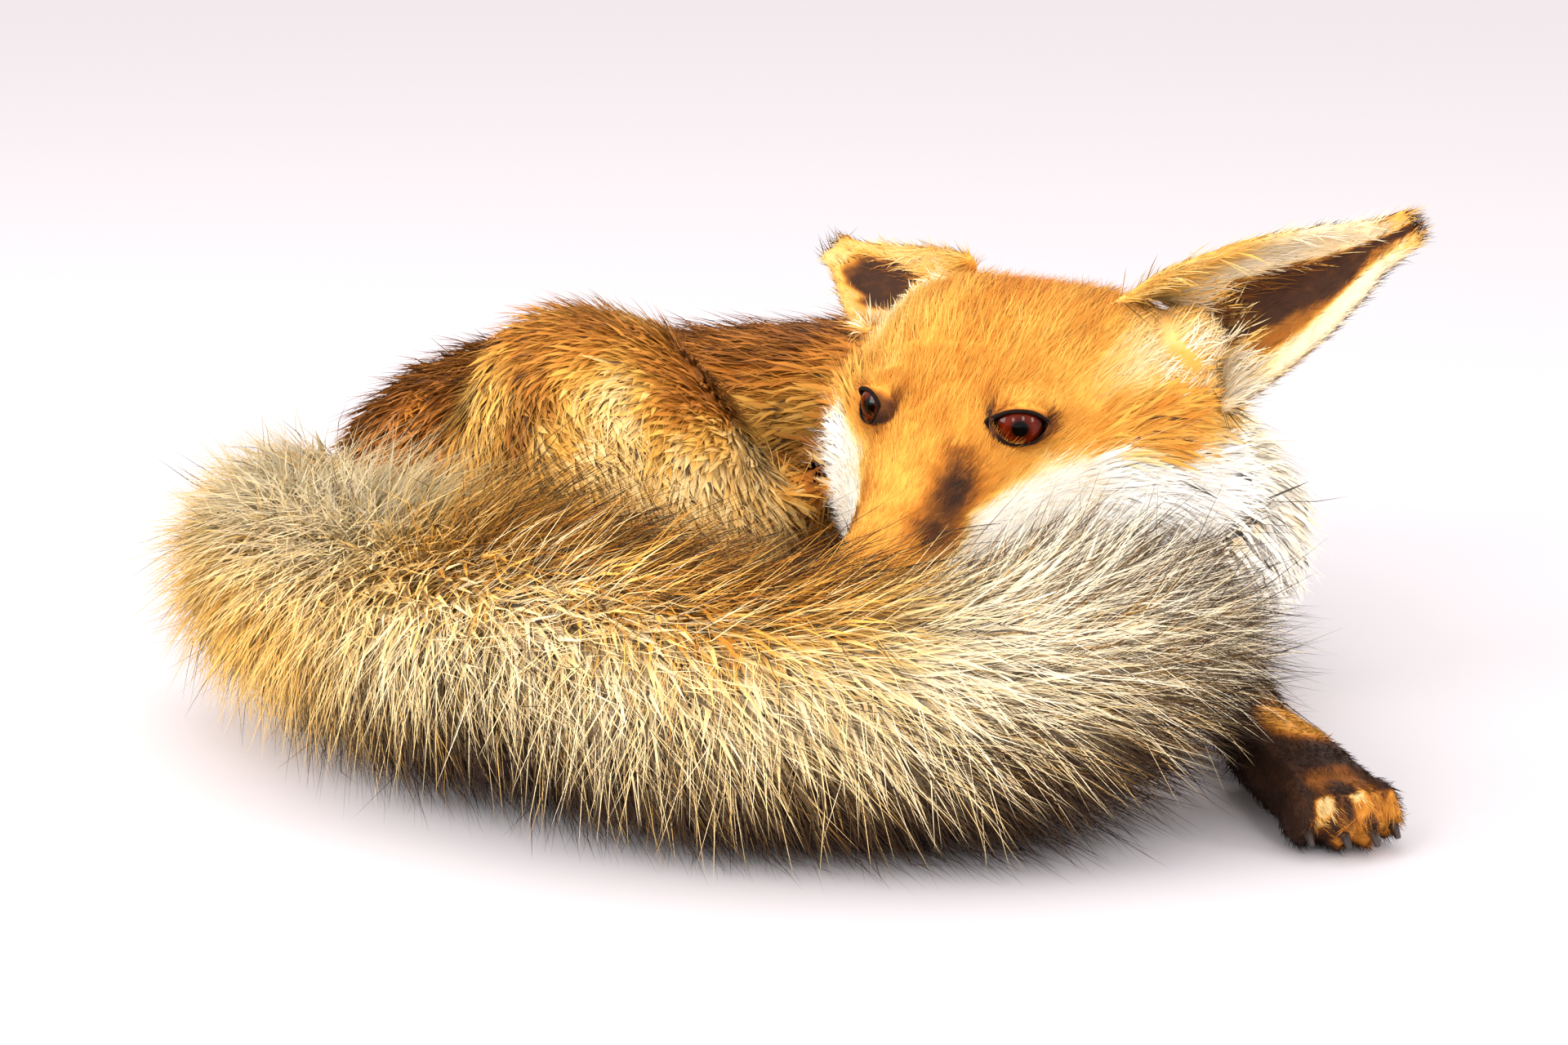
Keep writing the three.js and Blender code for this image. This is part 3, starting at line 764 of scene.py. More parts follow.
def growth():
    lie = np.zeros_like(skin_points)
    back = head_turn(unit(head_place - NOSE_TIP))
    cheek = ease(28, 52, np.abs(head_place[:, 1])) * ease(5, -20, head_place[:, 2])
    lie[on_head] = (back + 0.55 * cheek[:, None] * DOWN)[on_head]
    flank = spine_ahead + 0.35 * DOWN
    front = ease(0.30, 0.08, spine_share)[:, None]
    outward = unit(in_curl * (1, 1, 0))
    flank = mix(flank, 0.35 * spine_ahead + 0.8 * DOWN + 0.45 * outward, front)
    lie[on_trunk | on_ruff] = flank[on_trunk | on_ruff]
    lie[is_in("neck") & ~on_brush] = (0.6, 0.1, -0.75)
    pull = mix(0.85, 0.15, ease(0.5, 0.92, brush_share)) * ease(0.06, 0.22, brush_share)
    lie[on_brush] = (brush_ahead + pull[:, None] * DOWN)[on_brush]
    for upper, lower, paw in zip(UPPER_LEGS, LOWER_LEGS, PAWS):
        places = [middle_of(node) for node in (upper, lower, paw)]
        over = unit(places[1] - places[0])[None]
        if "thigh" in upper:
            towards_head = ease(-118, -52, in_curl[:, 0])[:, None]
            on_top = ease(0.45, 0.80, soft_normals[:, 2])[:, None]
            at_back = ease(0.05, 0.40, soft_normals[:, 1])[:, None]
            over = mix(np.array((-0.30, -0.80, -0.40)), (0.50, -0.62, -0.60), towards_head)
            over = mix(mix(over, (-0.90, -0.30, -0.30), on_top), (-0.60, 0.60, -0.50), at_back)
        lie[is_in(upper) & ~on_brush] = np.broadcast_to(over, lie.shape)[is_in(upper) & ~on_brush]
        lie[is_in(lower) & ~on_brush] = unit(places[2] - places[0])
        lie[is_in(paw) & ~on_brush] = unit(places[2] - places[1])
    for ear, lengthwise in EAR_LENGTHWISE.items():
        lie[is_in(ear)] = head_turn(unit(np.array(lengthwise)))
    still = (on_ears | on_paws | on_head).astype(float)
    lie = relaxed(lie, skin_edges, 36, hold=still * 0.9)
    lie = relaxed(lie, skin_edges, 5, hold=still * 0.6)
    swirl = wobble(skin_points, 60 * MM, 3)[:, None] * np.cross(soft_normals, unit(lie))
    lie = unit(lie) + (0.30 * np.where(on_head | on_ears | on_paws, 0.35, 1.0))[:, None] * swirl
    return unit(lie - (lie * soft_normals).sum(1)[:, None] * soft_normals)


skin_lie = growth()

# %% Length of the hair
# In mm, where it is the same all over a region.
HAIR = {"trunk": 22.0, "upper legs": 15.0, "lower legs": 10.0, "paws": 4.0, "ears": 5.0}


def hair_length():
    x, y, z = head_place[:, 0], np.abs(head_place[:, 1]), head_place[:, 2]
    face = mix(11.0, 4.2, ease(-20, 35, x))
    face = mix(face, 25.0, ease(30, 52, y) * ease(2, -20, z) * ease(8, -22, x))
    face = mix(face, 7.0, ease(-50, -76, x) * ease(-10, 4, z))
    face = mix(face, 15.0, ease(-66, -92, x) * ease(-4, -22, z))
    face = mix(face, 4.5, ease(22, 9, eye_distance(head_place)))
    length = np.zeros(len(skin_points))
    for region, value in HAIR.items():
        length[REGIONS[region]] = value
    length[on_head] = face[on_head]
    collar = ease(-128, -96, x) * ease(-28, -8, z)
    length[on_ruff] = mix(22.0, 13.0, collar)[on_ruff]
    length[on_brush] = mix(40.0, 49.0, ease(0.1, 0.5, brush_share))[on_brush]
    return relaxed(length, skin_edges, 6, hold=(on_ears | on_paws).astype(float) * 0.9)


skin_length = hair_length() * MM
skin_depth = np.where(on_head, head_depth(head_place), DEPTHS[owner])
skin_depth = np.where(on_brush, mix(23.0, 27.0, ease(0.05, 0.3, brush_share)), skin_depth)
skin_depth = relaxed(skin_depth, skin_edges, 8) * MM
skin_lift = np.arcsin(np.clip(skin_depth / skin_length * 0.88, 0.12, 0.80))
# The first half of the brush is fuller along its upper side, and the right cheek is puffed out.
turned = np.degrees(brush_angle)
fluff = on_brush * ease(0.48, 0.34, brush_share) * ease(20, 62, turned) * ease(0.08, 0.24, brush_share)
skin_length = skin_length * (1 + 0.16 * fluff)
skin_lift = np.minimum(skin_lift * (1 + 0.25 * fluff), 1.1)
puff = on_head * ease(24, 36, -head_place[:, 1]) * ease(-8, -18, head_place[:, 2])
puff *= ease(16, 4, head_place[:, 0]) * ease(-48, -30, head_place[:, 0])
skin_length = skin_length * (1 + 0.25 * puff)
skin_lift = np.minimum(skin_lift * (1 + 0.5 * puff), 1.2)
shortest, longest = skin_length.min() / MM, skin_length.max() / MM
print("hair from", round(float(shortest), 1), "to", round(float(longest), 1), "mm")

# %% [markdown]
# ## Markings
#
# The same three numbers colour the skin and every tuft that grows on it. `warm` runs from white
# through cream, buff and gold to rust. `soot` is how far the hair is blackened all along. `tips` is the
# share of hairs that end in black. Most marks are rules about the animal: white cheeks and throat, a dark
# streak from the eye to the whiskers, black stockings, and a pale brush with a rusty upper side. Some
# are painted shade: under the lids, in the creases by the eyes and of the forehead, behind the left ear,
# under the right cheek, on the inner side of the chest and in the hollow of each ear.

# %% White, gold and rust on the head
# Dark lines of the face, in the head's own mm: stations, half width and strength. Most are the fox's own
# markings; the line under each eye is painted shade of the lower lid's fold, and the line back from each
# eye's outer corner is painted shade of a crease in the fur.
LEFT_MARKS_AND_SHADE = (
    (((-3, -2, 5), (4, 1, 1), (10, 5, -3), (13, 10, -6)), 1.1, 0.62),
    (((11, 11, -5), (13, 14, -8), (17, 15, -11), (22, 15, -14)), 3.0, 0.46),
    (((19, 13, -12), (24, 13, -16), (29, 14, -20), (33, 12, -21)), 5.6, 0.74),
    (((2, 16, 0), (-1, 17, 1), (-5, 9, 7), (-8, 10, 8)), 0.9, 0.28),
    # Painted shade: the fold under the lower lid.
    (((4, 19, -4), (3, 25, -7), (1, 29, -9), (-4, 33, -8)), 1.4, 0.50),
    # Painted shade: the crease back from the outer corner.
    (((-9, 33, 0), (-12, 33, 1), (-18, 43, -4), (-24, 49, -7)), 1.2, 0.34),
    (((10, 20, -10), (12, 26, -14), (8, 32, -15)), 1.5, 0.22),
)
RIGHT_MARKS_AND_SHADE = (
    (((5, -13, 0), (4, -18, -3), (7, -24, -11), (9, -30, -20)), 1.8, 0.42),
    (((20, -19, -15), (28, -19, -21), (34, -17, -24)), 3.6, 0.50),
    # Painted shade: the fold under the lower lid.
    (((-4, -36, -6), (2, -30, -9), (4, -22, -6)), 2.0, 0.40),
    # Painted shade: the crease back from the outer corner.
    (((-9, -33, 0), (-18, -41, 0)), 1.2, 0.34),
)


# Painted shade of the crease behind the left ear, and the tuft beside it.
EAR_CREASE_SHADE = ((-76, 45, 5), (-79, 55, 1))
EAR_TUFT = ((-77, 60, -3), (-74, 70, -5))
# The lids' oval lies this much below the eye's middle, and is this high from its middle to its edge, in mm.
LID_DROP, LID_HEIGHT = 0.9, 5.6


def lid_oval(away, slit, rise, half):
    """1 on the edge of an oval round the eye's opening, less inside it. half is its half width in mm."""
    return np.hypot(away @ slit / half, (away @ rise + LID_DROP) / LID_HEIGHT)


def head_markings(points):
    h = to_head(points)
    x, y, z = h[:, 0], np.abs(h[:, 1]), h[:, 2]
    folded = np.stack((x, y, z), 1)
    blur = wobble(points, 14 * MM, 21)
    fine = wobble(points, 5 * MM, 22)

    def patch(middle, radii):
        return np.exp(-(np.linalg.norm((folded - middle) / radii, axis=1) ** 2))

    warm = 0.68 + 0.04 * blur + 0.10 * ease(-30, -46, x) * ease(16, 5, y)
    warm -= 0.07 * patch((-30, 20, 16), (12, 9, 8)) + 0.13 * patch((-14, 29, 9), (16, 9, 7))
    warm += 0.14 * patch((-13, 19, 10), (6, 5, 5))
    warm -= 0.17 * ease(26, 40, y) * ease(-14, -34, x) * ease(-8, 2, z)
    warm -= 0.15 * patch((-42, 46, 3), (13, 8, 6)) + 0.18 * patch((-54, 60, -16), (11, 8, 7))
    warm += 0.05 * np.clip(fine, -1, 1) * ease(20, -10, x)
    edge = np.interp(x, (-96, -70, -49, -13, 1, 20, 40, 77), (-12, -16, -24, -14, -15, -22, -35, -42))
    white = ease(3.0, -3.0, z - edge + 1.5 * blur)
    behind = ease(-30, -62, x) * ease(34, 50, y) * ease(16, -4, z)
    warm = mix(warm, 0.40 + 0.05 * blur, behind * (1 - white) * 0.5)
    nape = ease(-62, -84, x) * ease(-74, -50, z + 3 * blur)
    warm = mix(warm, 0.74, nape * ease(48, 26, y))
    white *= 1 - nape * ease(60, 36, y)
    warm = mix(warm, 0.02 + 0.05 * ease(-24, -14, z) * ease(40, 56, y), white)
    soot = 0.04 * (1 + blur) + 0.08 * np.clip(blur + fine - 0.2, 0, 1) * ease(-6, 6, z)
    # The lines blacken the hair: markings, and painted shade under the lids and in the creases by the eyes.
    for lines, mine in ((LEFT_MARKS_AND_SHADE, h[:, 1] > -3), (RIGHT_MARKS_AND_SHADE, h[:, 1] < 3)):
        for stations, wide, strength in lines:
            gap, _ = near_line(h, stations)
            soot += strength * mine * np.exp(-((np.maximum(gap - 1.5, 0) / wide) ** 2)) * (0.9 + 0.2 * fine)
    gap, _ = near_line(folded, MOUTH)
    soot += 0.6 * np.exp(-((gap / 2.0) ** 2))
    # Painted shade: the hair in the furrow of the forehead is darkened a little.
    gap, _ = near_line(h, FURROW)
    soot += 0.10 * np.exp(-((gap / 2.5) ** 2))
    for centre, _, slit, rise in EYES.values():
        away = (points - centre) / MM
        ring = lid_oval(away, slit, rise, SLIT_HALF + 1.5)
        soot += 0.62 * ease(1.12, 0.94, ring) * ease(16, 12, np.linalg.norm(away, axis=1))
    soot += 0.5 * ease(70, 76, x) * ease(-24, -30, z)
    # Painted shade: the underside of the right cheek, tucked against the chest, gets dark gold hair instead
    # of white.
    shade_under_right_cheek = ease(-43, -49, h[:, 1]) * ease(-27, -34, z) * ease(12, 4, x) * ease(-60, -40, x)
    warm, soot = mix(warm, 0.80, shade_under_right_cheek), mix(soot, 0.45, shade_under_right_cheek)
    # Painted shade: a near-black line in the crease behind the left ear.
    gap, _ = near_line(h, EAR_CREASE_SHADE)
    soot = np.maximum(soot, 0.9 * np.exp(-((gap / 3.0) ** 4)))
    tips = 0.03 + 0.05 * ease(0, 20, z)
    warm = np.maximum(warm, 0.50 * ease(0.05, 0.3, soot))
    return warm, soot, tips


# %% Where a point is on its ear
def ear_place(points, normals):
    """The share of the ear's length from its root, the share of its half width, and 1 on its inside."""
    along_ear, across_ear, inside = (np.zeros(len(points)) for _ in range(3))
    h = to_head(points)
    for ear in EARS:
        lengthwise = unit(np.array(EAR_LENGTHWISE[ear]))
        facing = np.array(EAR_FACING[ear])
        facing = unit(facing - lengthwise * (facing @ lengthwise))
        across = np.cross(lengthwise, facing) * (-1 if ear == "ear_left" else 1)
        mine = (h[:, 1] > 0) == (ear == "ear_left")
        away = h - EAR_ROOT[ear]
        along_ear = np.where(mine, away @ lengthwise / EAR_LENGTH, along_ear)
        across_ear = np.where(mine, away @ across / EAR_HALF, across_ear)
        inside = np.where(mine, ease(-0.15, 0.25, (normals @ HEAD_AXES.T) @ facing), inside)
    return along_ear, across_ear, inside


# %% Ears: pale rim, dark back, and a dark hollow inside that is partly painted shade
def ear_markings(points, normals):
    along_ear, across_ear, inside = ear_place(points, normals)
    left_ear = to_head(points)[:, 1] > 0
    blur = 0.10 * wobble(points, 16 * MM, 31)
    streaks = 0.10 * wobble(points * (1, 1, 2.5), 7 * MM, 32)
    middle = np.interp(along_ear, (0.0, 0.25, 0.48, 0.70, 0.85), (0.0, 0.02, -0.06, -0.06, 0.0))
    half = np.interp(along_ear, (0.0, 0.25, 0.48, 0.70, 0.84), (0.32, 0.40, 0.36, 0.24, 0.06))
    # The dark middle of the ear's inside is partly its own dark skin and hair, partly painted shade of a
    # hollow that the thin cup barely has.
    hollow = ease(1.20, 0.80, np.abs(across_ear - middle + 0.5 * blur) / half)
    hollow *= ease(0.02, 0.10, along_ear) * np.where(left_ear, 1.0, ease(0.84, 0.66, along_ear))
    low = across_ear + 0.5 * blur
    line = np.interp(along_ear, (0.2, 0.45, 0.65, 0.88), (-0.54, -0.50, -0.26, -0.10))
    band = ease(1.5, 0.5, np.abs(low - line) / np.interp(along_ear, (0.2, 0.65, 0.9), (0.13, 0.10, 0.08)))
    band *= ease(0.10, 0.28, along_ear) * ease(0.97, 0.88, along_ear) * left_ear
    gold = ease(0.66, 0.84, low) * ease(0.62, 0.40, along_ear) + ease(0.90, 0.97, along_ear)
    gold += np.exp(-(((along_ear - 0.20) / 0.09) ** 2) - (((across_ear + 0.62) / 0.22) ** 2))
    spot = np.exp(-(((along_ear - 0.93) / 0.04) ** 2) - (((across_ear - 0.34) / 0.16) ** 2))
    gold += 0.8 * ease(-0.30, -0.55, low) * ease(0.45, 0.7, along_ear) * ~left_ear
    front_warm = mix(np.where(left_ear, 0.24, 0.46) + 0.5 * blur, 0.52, np.clip(gold, 0, 1))
    front_warm = mix(front_warm, 0.66, np.maximum(hollow, 0.75 * band))
    front_soot = (0.88 + streaks) * hollow + 0.50 * band * (1 - hollow)
    front_soot += 0.05 + 0.5 * np.clip(streaks, 0, 1) + 0.7 * spot
    front_soot = np.clip(front_soot, 0, 0.93) + 0.10 * ~left_ear * (1 - hollow)
    back_soot = 0.80 * ease(0.25, 0.55, along_ear + blur)
    rim = ease(0.80, 0.98, np.abs(across_ear)) * (1 - inside)
    warm = mix(0.62, front_warm, inside)
    soot = mix(back_soot * (1 - rim), front_soot, inside)
    return warm, soot, 0.02 + 0.05 * hollow * inside


# %% The trunk, the haunch and the throat
def is_near(points, node):
    """1 on points that the solid is the nearest to, 0 elsewhere."""
    return (owners(points) == NAMES[node]).astype(float)


def body_markings(points):
    share, angle, _, _ = along(points, spine)
    blur = wobble(points, 35 * MM, 41)
    fine = wobble(points, 12 * MM, 42)
    turn = np.degrees(angle)
    place = (points - curl) / MM
    round_curl = np.degrees(np.arctan2(place[:, 1], place[:, 0]))
    belly = ease(120, 160, np.abs(turn)) * ease(0.35, 0.5, share)
    warm = mix(0.86, 0.80, ease(35, 80, turn)) + 0.05 * blur
    warm = mix(warm, 0.35, belly * 0.7)
    soot = 0.21 + 0.20 * np.clip(blur + 0.6 * fine, 0, 1)
    tips = 0.12 + 0.06 * blur
    haunch = is_near(points, "thigh_hind_right")
    top = ease(99, 117, place[:, 2] + 4 * blur)
    inner = ease(-46, -24, place[:, 0] + 0.5 * (place[:, 2] - 100) + 4 * blur)
    inner *= ease(82, 96, place[:, 2] + 4 * fine)
    pale = mix(0.47, 0.40, ease(-80, -40, place[:, 0])) + 0.05 * fine
    haunch_warm = mix(mix(pale + 0.02, 0.70, top), 0.78, inner)
    smudge = np.clip(blur + fine + 0.1, 0, 1) * ease(-62, -84, place[:, 0]) * ease(112, 98, place[:, 2])
    haunch_soot = 0.11 + 0.12 * np.clip(fine + 0.5 * blur, 0, 1) + 0.12 * top + 0.08 * inner + 0.42 * smudge
    warm = mix(warm, haunch_warm, haunch)
    soot = mix(soot, haunch_soot, haunch)
    tips = mix(tips, 0.03 + 0.1 * smudge, haunch)
    throat = ease(42, 12, round_curl + 6 * blur) * (round_curl > -95)
    # Painted shade: towards the middle of the curl, the chest's inner side keeps the body's rust instead of
    # white.
    throat *= 1 - 0.9 * ease(112, 88, np.hypot(place[:, 0], place[:, 1])) * ease(-45, -20, place[:, 1])
    nape = ease(86, 102, place[:, 2] + 3 * blur) * ease(-46, -30, place[:, 1])
    gilt = np.maximum(ease(60, 84, place[:, 2] + 5 * fine) * ease(-50, -20, place[:, 1]),
                      ease(140, 160, place[:, 0]) * ease(30, 60, place[:, 2] + 8 * blur))
    warm = mix(warm, 0.03 + 0.23 * gilt, throat)
    warm = mix(warm, 0.66 + 0.05 * blur, nape * throat)
    return warm, mix(soot, 0.0, throat), mix(tips, 0.02, throat)


# %% The legs: black stockings, with the near forefoot worn down to gold
# Spots on the near forefoot, in mm from the curl's middle: place and radii.
FOOT_GOLD = (((162, -160, 12), (12, 11, 12)), ((153, -167, 6), (8, 7, 7)))
FOOT_TAN = (((150, -148, 18), (8, 8, 7)), ((156, -150, 20), (6, 6, 6)))
FOOT_PALE = (
    ((145.7, -161.4, 15), (2.8, 4.5, 4)), ((154.5, -157.7, 17), (2.2, 2.2, 3)), ((144, -165, 9), (2, 4, 4)),
)
FOOT_DARK = (
    ((150.8, -152.5, 17), (3.8, 3.8, 4)), ((158, -165, 10), (2.8, 3.2, 4)), ((167, -159, 10), (2.4, 2.4, 3)),
    ((146, -138, 23), (8, 7, 6)), ((147, -166, 8), (3.0, 3.0, 4)), ((152, -160, 12), (1.6, 4.0, 5)),
    ((163, -151, 20), (6, 5, 4)),
)
FORELEG_ORANGE = (((146, -104, 28), (13, 22, 12)),)


def spots(place, groups):
    total = np.zeros(len(place))
    for middle, radii in groups:
        gap = np.linalg.norm((place - middle) / radii, axis=1)
        total = np.maximum(total, ease(1.25, 0.80, gap))
    return total


def leg_markings(points, which):
    """Stockings that blacken towards the toes."""
    blur = wobble(points, 10 * MM, 51)
    fine = wobble(points, 5 * MM, 52)
    warm = np.full(len(points), 0.66) + 0.05 * blur
    soot = np.where(np.isin(which, [NAMES[n] for n in PAWS]), 0.96, 0.0)
    for lower, paw in zip(LOWER_LEGS, PAWS):
        mine = which == NAMES[lower]
        a, b = middle_of(lower), middle_of(paw)
        down = (points - a) @ (b - a) / ((b - a) @ (b - a))
        soot = np.where(mine, 0.92 * ease(-0.45, 0.05, down + 0.08 * blur), soot)
    place = (points - curl) / MM
    near = (which == NAMES["paw_fore_left"]) | (which == NAMES["forearm_fore_left"])
    orange = spots(place, FORELEG_ORANGE) * near
    gold = np.clip(spots(place + 1.2 * fine[:, None], FOOT_GOLD), 0, 1) * near
    tan = spots(place, FOOT_TAN) * near * (1 - gold)
    soot = mix(soot - 0.10 * np.clip(fine, 0, 1) * near, 0.0, orange)
    soot = mix(soot, 0.62, tan)
    soot = mix(soot, 0.24 + 0.44 * np.clip(fine, 0, 1), gold)
    warm = mix(mix(warm, 0.66, orange), 0.62 + 0.06 * fine, gold)
    pale = spots(place, FOOT_PALE) * near
    soot, warm = mix(soot, 0.12, pale), mix(warm, 0.34, pale)
    dark = spots(place, FOOT_DARK) * near
    soot = mix(soot, 0.98, dark)
    return warm, np.clip(soot, 0, 0.98), np.full(len(points), 0.06)


# %% The brush
def brush_markings(points):
    share, angle, _, _ = along(points, brush)
    turn = np.degrees(angle)
    blur = wobble(points, 40 * MM, 61)
    fine = wobble(points, 14 * MM, 62)
    warm = 0.33 + 0.05 * blur
    left_end = ease(0.42, 0.24, share + 0.03 * blur)
    warm = mix(warm, 0.60, left_end * ease(62, 26, turn))
    warm = mix(warm, 0.30, left_end * ease(40, 70, turn))
    warm = mix(warm, 0.40, ease(4, -26, turn) * ease(0.90, 0.70, share))
    warm = mix(warm, 0.20, ease(0.62, 0.86, share) * ease(-60, -20, turn))
    window = ease(0.30, 0.42, share) * ease(0.73, 0.62, share)
    gold = ease(50, 66, turn + 8 * fine) * window
    warm = mix(warm, 0.84, gold)
    stripe = ease(72, 90, turn + 8 * fine) * window
    ridge = ease(105, 130, turn + 10 * fine) * ease(0.80, 0.66, share) * ease(0.02, 0.1, share)
    stripe = np.maximum(stripe, ridge)
    warm = mix(warm, 0.76, stripe)
    tips = 0.03 + 0.02 * blur + 0.12 * gold + 0.55 * stripe * ease(0.22, 0.38, share)
    tips = mix(tips, 0.42, ease(0.60, 0.74, share) * ease(48, 80, turn))
    tips = mix(tips, 0.38, ease(0.74, 0.90, share + 0.03 * blur))
    under = ease(26, -6, turn + 6 * fine) * ease(0.20, 0.40, share) * ease(0.98, 0.76, share)
    soot = 0.90 * ease(-8, -32, turn + 6 * fine) * ease(0.20, 0.36, share) * ease(0.96, 0.76, share)
    tips = mix(tips, 0.94, under)
    warm = mix(warm, 0.40, under)
    grey = np.clip(blur + 0.6 * fine - 0.4, 0, 1) * ease(0.25, 0.4, share) * ease(0.8, 0.7, share)
    soot += 0.22 * grey * (1 - stripe) * ease(8, 30, turn) + 0.05 * ease(0.70, 0.88, share)
    return warm, soot, tips


# %% The markings of every point of the skin
MARKS = ("warm", "soot", "tips")


def markings():
    warm, soot, tips = (np.zeros(len(skin_points)) for _ in MARKS)

    def paint(mask, values):
        warm[mask], soot[mask], tips[mask] = values

    body = on_trunk | on_ruff | on_upper_legs
    paint(body, body_markings(skin_points[body]))
    legs = on_lower_legs | on_paws
    paint(legs, leg_markings(skin_points[legs], owner[legs]))
    paint(on_head, head_markings(skin_points[on_head]))
    paint(on_ears, ear_markings(skin_points[on_ears], skin_normals[on_ears]))
    paint(on_brush, brush_markings(skin_points[on_brush]))
    still = (on_head | on_ears | on_paws).astype(float) * 0.92
    both = relaxed(np.stack((warm, soot, tips), 1), skin_edges, 5, hold=still)
    return np.clip(both, 0, 1)


skin_marks = markings()
print("mean warm, soot, tips:", np.round(skin_marks.mean(0), 2))

# %% [markdown]
# ## Materials
#
# One node group turns the markings into a color. Everything that gives gloss stays in each material,
# because an exported model can't read it inside a group.

# %% The coat's colors as a node group
# Colors are red, green and blue from 0 to 255. The first number of a step is its place, from 0 to 1.
WARM_STEPS = (
    (0.00, (255, 251, 243)), (0.20, (253, 238, 210)), (0.40, (250, 217, 154)),
    (0.58, (247, 184, 82)), (0.78, (214, 132, 44)), (1.00, (142, 80, 26)),
)
SOOT_COLOR = (46, 31, 24)
# Painted shade: the lower half of every tuft is multiplied towards this warm color, as the shade deep in the
# coat looks.
PAINTED_ROOT_SHADE = (252, 226, 184)
# A Mix node has sockets for every kind of value. These are its two colors and their mixture.
MIX_FIRST, MIX_SECOND, MIX_RESULT = 6, 7, 2


def fill_ramp(ramp, steps):
    stops = ramp.color_ramp.elements
    while len(stops) < len(steps):
        stops.new(0.5)
    for stop, (place, tone) in zip(stops, steps):
        stop.position = place
        stop.color = color(*tone)


def coat_color_group():
    group = bpy.data.node_groups.new("Coat Color", "ShaderNodeTree")
    for name in ("Warm", "Soot", "Tips", "Along", "Lock", "Streak"):
        group.interface.new_socket(name, in_out="INPUT", socket_type="NodeSocketFloat")
    group.interface.new_socket("Color", in_out="OUTPUT", socket_type="NodeSocketColor")
    nodes, links = group.nodes, group.links
    given, made = nodes.new("NodeGroupInput"), nodes.new("NodeGroupOutput")

    def sum_of(kind, *values):
        node = nodes.new("ShaderNodeMath")
        node.operation = kind
        for socket, value in zip(node.inputs, values):
            if isinstance(value, (int, float)):
                socket.default_value = value
            else:
                links.new(value, socket)
        return node.outputs[0]

    def blend(kind, share, a, b):
        node = nodes.new("ShaderNodeMix")
        node.data_type = "RGBA"
        node.blend_type = kind
        ends = ((node.inputs[0], share), (node.inputs[MIX_FIRST], a), (node.inputs[MIX_SECOND], b))
        for socket, value in ends:
            if isinstance(value, (int, float, tuple)):
                socket.default_value = value
            else:
                links.new(value, socket)
        return node.outputs[MIX_RESULT]

    def soft_step(start, end, value):
        node = nodes.new("ShaderNodeMapRange")
        node.interpolation_type = "SMOOTHSTEP"
        node.inputs[1].default_value = start
        node.inputs[2].default_value = end
        links.new(value, node.inputs[0])
        return node.outputs[0]

    lock, reach = given.outputs["Lock"], given.outputs["Along"]
    other = sum_of("FRACT", sum_of("MULTIPLY", lock, 7.31))
    third = sum_of("FRACT", sum_of("MULTIPLY", lock, 17.77))
    shifted = sum_of("ADD", given.outputs["Warm"], sum_of("MULTIPLY", sum_of("SUBTRACT", lock, 0.5), 0.14))
    shifted = sum_of("ADD", shifted, sum_of("MULTIPLY", given.outputs["Soot"], 0.40))
    ramp = nodes.new("ShaderNodeValToRGB")
    links.new(shifted, ramp.inputs[0])
    fill_ramp(ramp, WARM_STEPS)
    shade = sum_of("ADD", 0.91, sum_of("MULTIPLY", other, 0.14))
    shade = sum_of("MULTIPLY", shade, sum_of("ADD", 0.82, sum_of("MULTIPLY", given.outputs["Streak"], 0.36)))
    grey = nodes.new("ShaderNodeCombineColor")
    for socket in grey.inputs[:3]:
        links.new(shade, socket)
    tone = blend("MULTIPLY", 1.0, ramp.outputs[0], grey.outputs[0])
    # Painted shade at the roots, fading out halfway along each tuft.
    rooted = sum_of("SUBTRACT", 1.0, soft_step(0.0, 0.5, reach))
    tone = blend("MULTIPLY", rooted, tone, color(*PAINTED_ROOT_SHADE))
    tone = blend("MIX", given.outputs["Soot"], tone, color(*SOOT_COLOR))
    tipped = sum_of("LESS_THAN", third, given.outputs["Tips"])
    dark_end = sum_of("MULTIPLY", sum_of("MULTIPLY", tipped, soft_step(0.38, 0.68, reach)), 0.92)
    tone = blend("MIX", dark_end, tone, color(*SOOT_COLOR))
    links.new(tone, made.inputs[0])
    return group


COAT_GROUP = coat_color_group()

# %% Materials for tufts and for the skin under them
def new_material(name, roughness, specular):
    material = bpy.data.materials.new(name)
    material.use_nodes = True
    shader = material.node_tree.nodes["Principled BSDF"]
    shader.inputs["Roughness"].default_value = roughness
    shader.inputs["Specular IOR Level"].default_value = specular
    return material, material.node_tree.nodes, material.node_tree.links, shader


def noise(material, scale, detail=2.0, place=None):
    """A noise on the object's own coordinates, or on those that place gives."""
    nodes, links = material.node_tree.nodes, material.node_tree.links
    if place is None:
        place = nodes.new("ShaderNodeTexCoord").outputs["Object"]
    texture = nodes.new("ShaderNodeTexNoise")
    texture.inputs["Scale"].default_value = scale
    texture.inputs["Detail"].default_value = detail
    links.new(place, texture.inputs["Vector"])
    return texture.outputs["Fac"]


def bumped(material, height, strength, distance):
    """Roughens the material's surface by height, at most by distance, in metres."""
    nodes, links = material.node_tree.nodes, material.node_tree.links
    bump = nodes.new("ShaderNodeBump")
    bump.inputs["Strength"].default_value = strength
    bump.inputs["Distance"].default_value = distance
    links.new(height, bump.inputs["Height"])
    links.new(bump.outputs[0], nodes["Principled BSDF"].inputs["Normal"])


COAT_ROUGHNESS, COAT_SPECULAR = 0.66, 0.12
STRAND_SCALE = (2600.0, 320.0, 1.0)


